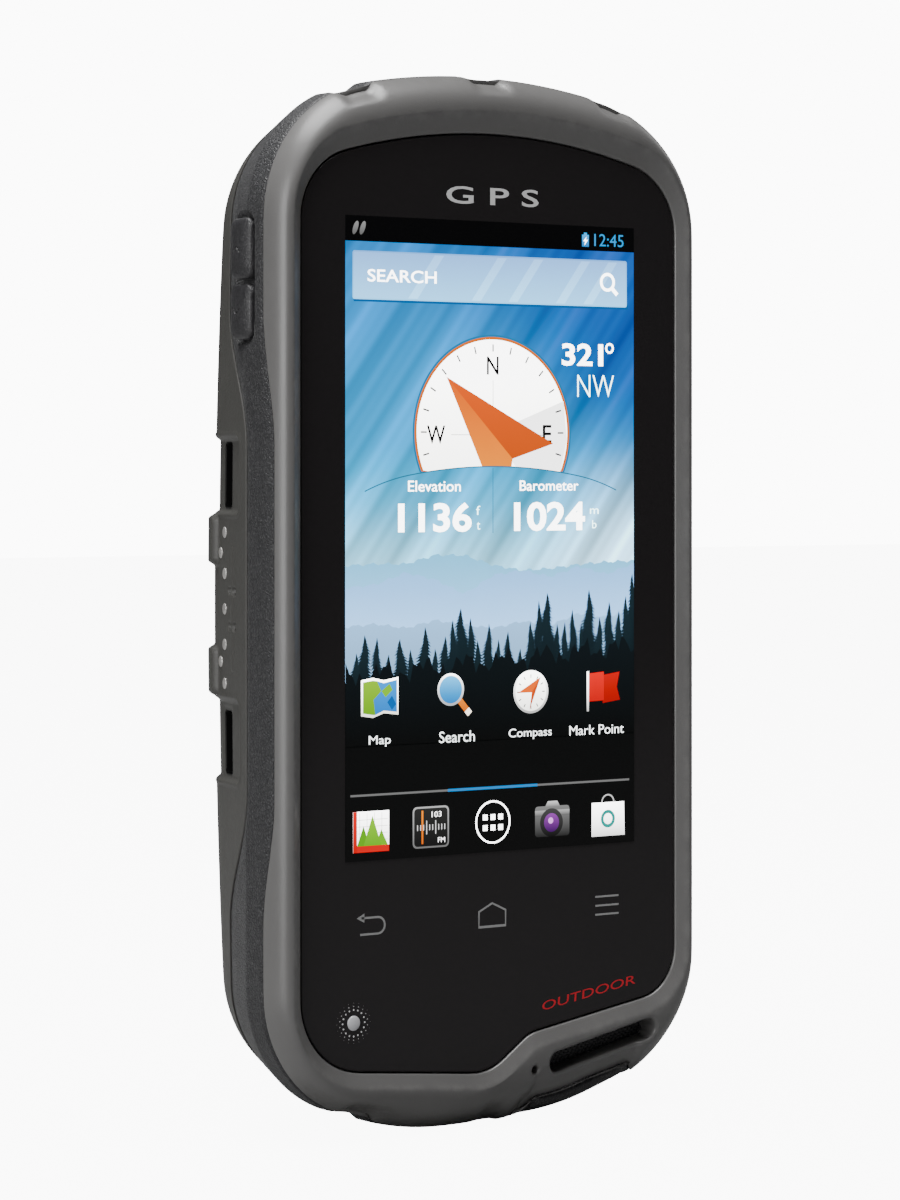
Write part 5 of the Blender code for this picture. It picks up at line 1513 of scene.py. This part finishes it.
def makeMouldedGroup():
    # Spark-eroded mould texture: small uneven pits with a little fine noise
    group, start, end = newGroup("mouldedGrain", [
        ("Vector", "NodeSocketVector", None), ("Scale", "NodeSocketFloat", 3000.0)],
        [("Height", "NodeSocketFloat")])
    cells = node(group, "ShaderNodeTexVoronoi", {"feature": "SMOOTH_F1"}, {"Smoothness": 0.6},
                 {"Vector": start.outputs["Vector"], "Scale": start.outputs["Scale"]})
    half = mathNode(group, "MULTIPLY", start.outputs["Scale"], 0.6)
    speck = node(group, "ShaderNodeTexNoise", inputs={"Detail": 4.0, "Roughness": 0.6},
                 links={"Vector": start.outputs["Vector"], "Scale": half})
    height = mathNode(group, "ADD", mathNode(group, "MULTIPLY", cells.outputs["Distance"], 0.6),
                      mathNode(group, "MULTIPLY", speck.outputs["Fac"], 0.6))
    group.links.new(height, end.inputs["Height"])
    return group


def makeLeatherGroup():
    # Leather-like grain: rounded pebbles of several sizes with creases between them
    group, start, end = newGroup("leatherGrain", [
        ("Vector", "NodeSocketVector", None), ("Scale", "NodeSocketFloat", 1500.0)],
        [("Height", "NodeSocketFloat"), ("Crease", "NodeSocketFloat")])
    warp = node(group, "ShaderNodeTexNoise", inputs={"Detail": 2.0, "Scale": 700.0},
                links={"Vector": start.outputs["Vector"]})
    shift = node(group, "ShaderNodeVectorMath", {"operation": "SCALE"}, {"Scale": 0.0006},
                 {0: warp.outputs["Color"]})
    place = node(group, "ShaderNodeVectorMath", {"operation": "ADD"},
                 links={0: start.outputs["Vector"], 1: shift.outputs[0]})
    pebbles = node(group, "ShaderNodeTexVoronoi", {"feature": "DISTANCE_TO_EDGE"},
                   links={"Vector": place.outputs[0], "Scale": start.outputs["Scale"]})
    smallScale = mathNode(group, "MULTIPLY", start.outputs["Scale"], 2.3)
    small = node(group, "ShaderNodeTexVoronoi", {"feature": "SMOOTH_F1"}, {"Smoothness": 0.4},
                 {"Vector": place.outputs[0], "Scale": smallScale})
    crease = node(group, "ShaderNodeMapRange", {"interpolation_type": "SMOOTHSTEP"},
                  {"From Min": 0.0, "From Max": 0.22}, {"Value": pebbles.outputs["Distance"]})
    height = mathNode(group, "SUBTRACT", mathNode(group, "MULTIPLY", crease.outputs["Result"], 0.7),
                      mathNode(group, "MULTIPLY", small.outputs["Distance"], 0.45))
    group.links.new(height, end.inputs["Height"])
    # The crease mask also darkens the colour in the finishes: painted shade in the grain's creases
    group.links.new(crease.outputs["Result"], end.inputs["Crease"])
    return group


def makeWearGroup():
    # Polished or scuffed edges: the piece's worn attribute broken up by noise
    group, start, end = newGroup("edgeWear", [
        ("Vector", "NodeSocketVector", None), ("Worn", "NodeSocketFloat", 0.0),
        ("Amount", "NodeSocketFloat", 0.5)], [("Mask", "NodeSocketFloat")])
    patches = node(group, "ShaderNodeTexNoise", inputs={"Scale": 350.0, "Detail": 5.0, "Roughness": 0.65},
                   links={"Vector": start.outputs["Vector"]})
    spots = node(group, "ShaderNodeMapRange", {"interpolation_type": "SMOOTHSTEP"},
                 {"From Min": 0.38, "From Max": 0.68}, {"Value": patches.outputs["Fac"]})
    mask = mathNode(group, "MULTIPLY", mathNode(group, "MULTIPLY", spots.outputs["Result"], start.outputs["Worn"]),
                    start.outputs["Amount"], clamp=True)
    group.links.new(mask, end.inputs["Mask"])
    return group


def makeSmudgeGroup():
    # Faint smears and dust on glossy faces
    group, start, end = newGroup("smudges", [
        ("Vector", "NodeSocketVector", None), ("Scale", "NodeSocketFloat", 40.0)],
        [("Mask", "NodeSocketFloat")])
    smear = node(group, "ShaderNodeTexNoise", inputs={"Detail": 6.0, "Roughness": 0.6, "Distortion": 1.2},
                 links={"Vector": start.outputs["Vector"], "Scale": start.outputs["Scale"]})
    mask = node(group, "ShaderNodeMapRange", {"interpolation_type": "SMOOTHSTEP"},
                {"From Min": 0.5, "From Max": 0.8}, {"Value": smear.outputs["Fac"]})
    group.links.new(mask.outputs["Result"], end.inputs["Mask"])
    return group


shared = {
    "tone": makeToneGroup(),
    "moulded": makeMouldedGroup(),
    "leather": makeLeatherGroup(),
    "wear": makeWearGroup(),
    "smudges": makeSmudgeGroup(),
}


def useGroup(tree, key, inputs=None, links=None):
    made = tree.nodes.new("ShaderNodeGroup")
    made.node_tree = shared[key]
    for label, value in (inputs or {}).items():
        made.inputs[label].default_value = value
    for label, source in (links or {}).items():
        tree.links.new(source, made.inputs[label])
    return made


finishes = {
    "bezelSatin": {
        "colour": (0.105, 0.103, 0.101), "rough": (0.3, 0.4), "tone": (45.0, 0.10),
        "grain": "moulded", "grainScale": 4200.0, "grainDepth": 0.000012,
        "wear": 0.25, "wornColour": (0.2, 0.195, 0.19, 1), "specular": 0.5,
    },
    "bandRubber": {
        "colour": (0.0125, 0.0125, 0.0142), "rough": (0.42, 0.6), "tone": (60.0, 0.2),
        "grain": "leather", "grainScale": 1900.0, "grainDepth": 0.00009,
        # The crease value paints shade into the grain's creases
        "wear": 0.0, "creaseShade": 0.45, "specular": 0.55, "sheen": 0.08,
    },
    "keyRubber": {
        "colour": (0.016, 0.0155, 0.0175), "rough": (0.36, 0.5), "tone": (90.0, 0.2),
        "grain": "leather", "grainScale": 2600.0, "grainDepth": 0.00004,
        # The crease value paints shade into the grain's creases
        "wear": 0.0, "creaseShade": 0.3, "specular": 0.55, "sheen": 0.05,
    },
    "housingPlastic": {
        "colour": (0.046, 0.0455, 0.042), "rough": (0.42, 0.55), "tone": (50.0, 0.12),
        "grain": "moulded", "grainScale": 3000.0, "grainDepth": 0.000028,
        "wear": 0.35, "wornColour": (0.085, 0.084, 0.08, 1), "specular": 0.45,
        # Near-black painted shade for the docking slots and their rims
        "hollow": (0.004, 0.004, 0.004, 1),
    },
    "blackPlastic": {
        "colour": (0.012, 0.012, 0.013), "rough": (0.35, 0.5), "tone": (120.0, 0.2),
        "grain": "moulded", "grainScale": 4000.0, "grainDepth": 0.00002, "wear": 0.0, "specular": 0.5,
    },
    "sealRubber": {
        "colour": (0.02, 0.02, 0.021), "rough": (0.6, 0.75), "tone": (150.0, 0.2),
        "grain": "leather", "grainScale": 4000.0, "grainDepth": 0.00002, "wear": 0.0, "specular": 0.35,
    },
    "batteryWrap": {
        "colour": (0.06, 0.065, 0.075), "rough": (0.25, 0.4), "tone": (30.0, 0.2),
        "grain": "moulded", "grainScale": 900.0, "grainDepth": 0.00003, "wear": 0.0, "specular": 0.5,
    },
    "boardGreen": {
        "colour": (0.01, 0.07, 0.03), "rough": (0.3, 0.5), "tone": (200.0, 0.4),
        "grain": "moulded", "grainScale": 1500.0, "grainDepth": 0.00003, "wear": 0.0, "specular": 0.5,
    },
    "ceramic": {
        "colour": (0.62, 0.58, 0.5), "rough": (0.45, 0.6), "tone": (200.0, 0.08),
        "grain": "moulded", "grainScale": 2500.0, "grainDepth": 0.00002, "wear": 0.0, "specular": 0.5,
    },
    "steel": {
        "colour": (0.42, 0.415, 0.4), "rough": (0.24, 0.4), "tone": (150.0, 0.12),
        "grain": "moulded", "grainScale": 5000.0, "grainDepth": 0.000008, "wear": 0.0, "metal": 1.0, "specular": 0.5,
    },
    "contactMetal": {
        "colour": (0.52, 0.51, 0.49), "rough": (0.34, 0.5), "tone": (400.0, 0.1),
        "grain": "moulded", "grainScale": 5000.0, "grainDepth": 0.00001, "wear": 0.0, "metal": 0.7, "specular": 0.5,
    },
    "gold": {
        "colour": (0.75, 0.5, 0.17), "rough": (0.25, 0.4), "tone": (300.0, 0.15),
        "grain": "moulded", "grainScale": 5000.0, "grainDepth": 0.000008, "wear": 0.0, "metal": 1.0, "specular": 0.5,
    },
}


def makeFinish(name):
    # Colour from tone drift and wear, with painted shade in the grain's creases and in the docking slots; roughness
    # from the same drift, relief from a grain group
    look = finishes[name]
    material = bpy.data.materials.new(name)
    material.use_nodes = True
    tree = material.node_tree
    shader = tree.nodes["Principled BSDF"]
    place = tree.nodes.new("ShaderNodeTexCoord").outputs["Object"]
    tone = useGroup(tree, "tone", {"Scale": look["tone"][0], "Amount": look["tone"][1],
                                   "Color": (*look["colour"], 1)}, {"Vector": place})
    grain = useGroup(tree, look["grain"], {"Scale": look["grainScale"]}, {"Vector": place})
    colour = tone.outputs["Color"]
    rough = node(tree, "ShaderNodeMapRange", inputs={"From Min": 0.3, "From Max": 0.7,
                 "To Min": look["rough"][0], "To Max": look["rough"][1]},
                 links={"Value": tone.outputs["Value"]}).outputs["Result"]
    # Painted shade: the colour darkens in the creases of the leather grain
    if look.get("creaseShade"):
        creaseShadeGain = mathNode(tree, "ADD", mathNode(tree, "MULTIPLY", grain.outputs["Crease"], look["creaseShade"]),
                        1.0 - look["creaseShade"])
        colour = node(tree, "ShaderNodeVectorMath", {"operation": "SCALE"},
                      links={0: colour, "Scale": creaseShadeGain}).outputs[0]
    if look["wear"]:
        worn = tree.nodes.new("ShaderNodeAttribute")
        worn.attribute_name = "worn"
        mask = useGroup(tree, "wear", {"Amount": look["wear"]}, {"Vector": place, "Worn": worn.outputs["Fac"]})
        colour = mixColour(tree, mask.outputs["Mask"], colour, look["wornColour"])
        rough = mathNode(tree, "SUBTRACT", rough, mathNode(tree, "MULTIPLY", mask.outputs["Mask"], 0.12))
    # Painted shade: the docking slots and their rims turn near black and lose their specular shine
    if look.get("hollow"):
        inside = tree.nodes.new("ShaderNodeAttribute")
        inside.attribute_name = "hollow"
        colour = mixColour(tree, inside.outputs["Fac"], colour, look["hollow"])
        sheen = mathNode(tree, "MULTIPLY", mathNode(tree, "SUBTRACT", 1.0, inside.outputs["Fac"]), look["specular"])
        tree.links.new(sheen, shader.inputs["Specular IOR Level"])
    tree.links.new(colour, shader.inputs["Base Color"])
    tree.links.new(rough, shader.inputs["Roughness"])
    bump = node(tree, "ShaderNodeBump", inputs={"Strength": 1.0, "Distance": look["grainDepth"]},
                links={"Height": grain.outputs["Height"]})
    tree.links.new(bump.outputs["Normal"], shader.inputs["Normal"])
    shader.inputs["Metallic"].default_value = look.get("metal", 0.0)
    shader.inputs["Specular IOR Level"].default_value = look["specular"]
    shader.inputs["Sheen Weight"].default_value = look.get("sheen", 0.0)
    shader.inputs["Sheen Roughness"].default_value = 0.4
    return material


def makeGlossFinish(name, colour, rough, specular, attribute=None, glow=0.0):
    # Glass-like faces: smudges vary the roughness; the colour comes from the points where they carry one
    material = bpy.data.materials.new(name)
    material.use_nodes = True
    tree = material.node_tree
    shader = tree.nodes["Principled BSDF"]
    place = tree.nodes.new("ShaderNodeTexCoord").outputs["Object"]
    smudge = useGroup(tree, "smudges", {"Scale": 35.0}, {"Vector": place})
    roughness = mathNode(tree, "ADD", mathNode(tree, "MULTIPLY", smudge.outputs["Mask"], 0.1), rough)
    tree.links.new(roughness, shader.inputs["Roughness"])
    if attribute:
        ink = tree.nodes.new("ShaderNodeAttribute")
        ink.attribute_name = attribute
        source = useGroup(tree, "tone", {"Scale": 500.0, "Amount": 0.04},
                          {"Vector": place, "Color": ink.outputs["Color"]}).outputs["Color"]
    else:
        source = useGroup(tree, "tone", {"Scale": 80.0, "Amount": 0.06, "Color": (*colour, 1)},
                          {"Vector": place}).outputs["Color"]
    if glow:
        tree.links.new(source, shader.inputs["Emission Color"])
        shader.inputs["Base Color"].default_value = (0.004, 0.004, 0.004, 1)
        shader.inputs["Emission Strength"].default_value = glow
    else:
        tree.links.new(source, shader.inputs["Base Color"])
    shader.inputs["Specular IOR Level"].default_value = specular
    return material


made = {name: makeFinish(name) for name in finishes}
made["blackGlass"] = makeGlossFinish("blackGlass", (0.019, 0.0172, 0.0178), 0.06, 0.12)
made["pictureGlow"] = makeGlossFinish("pictureGlow", None, 0.06, 0.1, attribute="ink", glow=1.0)
made["printInk"] = makeGlossFinish("printInk", None, 0.4, 0.2, attribute="ink")
made["lensGlass"] = makeGlossFinish("lensGlass", (0.006, 0.006, 0.012), 0.03, 0.8)
made["clearLens"] = makeGlossFinish("clearLens", (0.5, 0.5, 0.52), 0.12, 0.6)
made["flashCover"] = makeGlossFinish("flashCover", (0.62, 0.6, 0.52), 0.15, 0.6)
slotFinish = {
    "bezel_plastic": "bezelSatin", "grip_rubber": "bandRubber", "housing_plastic": "housingPlastic",
    "glass_black": "blackGlass", "screen": "blackGlass", "seal_rubber": "sealRubber",
    "black_plastic": "blackPlastic", "steel": "steel", "contact_metal": "contactMetal", "gold": "gold",
    "board_green": "boardGreen", "ceramic": "ceramic", "lens": "lensGlass", "clear": "clearLens",
    "battery_wrap": "batteryWrap",
}
print("finishes made:", len(made))


def paint(piece, finish):
    piece.data.materials.clear()
    piece.data.materials.append(made[finish])
    return piece


def paintFrame():
    # Every CAD node keeps its mesh and takes the procedural finish of its own slot
    for item in frame["nodes"].values():
        for i, current in enumerate(item.data.materials):
            base = current.name.split(".")[0] if current else ""
            item.data.materials[i] = made[slotFinish.get(base, "blackPlastic")]


paintFrame()
paint(makeBezel(), "bezelSatin")
paint(makeBand(), "bandRubber")
paint(makeHousing(), "housingPlastic")
print("case made")
paint(makeGlass(), "blackGlass")
paint(makePicture(), "pictureGlow")
paint(makePrint(), "printInk")
print("display made")
paint(makeDoor(), "housingPlastic")
for piece in makeLatch():
    paint(piece, "steel")
for piece, finish in zip(makeLens(), ("housingPlastic", "blackPlastic", "lensGlass", "flashCover")):
    paint(piece, finish)
for piece, finish in zip(makeFittings(), ("steel", "contactMetal", "clearLens", "blackPlastic")):
    paint(piece, finish)
for piece in makeKeys() + makeCovers():
    paint(piece, "keyRubber")
print("door, latch, camera, fittings, keys and covers made")


# Camera, floor and lights

view = {
    "place": (-0.314, -0.448, 0.01885),
    "looking": (0.5791, 0.8152, 0.0),
    "lens": 112.0,
    "shiftY": -0.1098,
    "target": (0, 0, 0.005),  # where the lights point
}


def makeCamera():
    data = bpy.data.cameras.new("camera")
    data.lens = view["lens"]
    data.sensor_width = 36.0
    data.sensor_fit = "AUTO"
    data.shift_y = view["shiftY"]
    camera = bpy.data.objects.new("camera", data)
    camera.location = view["place"]
    camera.rotation_euler = Vector(view["looking"]).to_track_quat("-Z", "Y").to_euler()
    bpy.context.scene.collection.objects.link(camera)
    bpy.context.scene.camera = camera


def softbox(name, place, size, power):
    data = bpy.data.lights.new(name, "AREA")
    data.shape = "RECTANGLE"
    data.size, data.size_y = size
    data.energy = power
    lamp = bpy.data.objects.new(name, data)
    lamp.location = place
    lamp.rotation_euler = (Vector(view["target"]) - Vector(place)).to_track_quat("-Z", "Y").to_euler()
    bpy.context.scene.collection.objects.link(lamp)


makeCamera()
softbox("top_softbox", (-0.1, -0.03, 0.95), (0.8, 0.6), 26)
softbox("left_softbox", (-0.95, -0.22, 0.1), (0.4, 0.9), 11)
softbox("right_softbox", (0.9, 0.2, 0.2), (0.4, 0.9), 1.2)


def makeStudio():
    # White surround: what the camera sees is lighter than what lights the object
    world = bpy.data.worlds.new("studio")
    bpy.context.scene.world = world
    world.use_nodes = True
    tree = world.node_tree
    background = tree.nodes["Background"]
    background.inputs["Color"].default_value = (1, 1, 1, 1)
    path = tree.nodes.new("ShaderNodeLightPath")
    strength = mathNode(tree, "ADD", mathNode(tree, "MULTIPLY", path.outputs["Is Camera Ray"], 11.0), 0.04)
    tree.links.new(strength, background.inputs["Strength"])


makeStudio()
floorMesh = bpy.data.meshes.new("studio_floor")
floorMesh.from_pydata([(-3, -3, -0.0751), (3, -3, -0.0751), (3, 3, -0.0751), (-3, 3, -0.0751)], [], [(0, 1, 2, 3)])
floor = bpy.data.objects.new("studio_floor", floorMesh)
bpy.context.scene.collection.objects.link(floor)
floorMaterial = bpy.data.materials.new("paleFloor")
floorMaterial.use_nodes = True
floorTree = floorMaterial.node_tree
floorShader = floorTree.nodes["Principled BSDF"]
floorShader.inputs["Base Color"].default_value = (0.25, 0.25, 0.25, 1)
floorShader.inputs["Roughness"].default_value = 0.9
floorShader.inputs["Emission Color"].default_value = (1, 1, 1, 1)
floorPath = floorTree.nodes.new("ShaderNodeLightPath")
floorTree.links.new(mathNode(floorTree, "MULTIPLY", floorPath.outputs["Is Camera Ray"], 9.5),
                    floorShader.inputs["Emission Strength"])
floorMesh.materials.append(floorMaterial)
print("camera, lights and floor made")
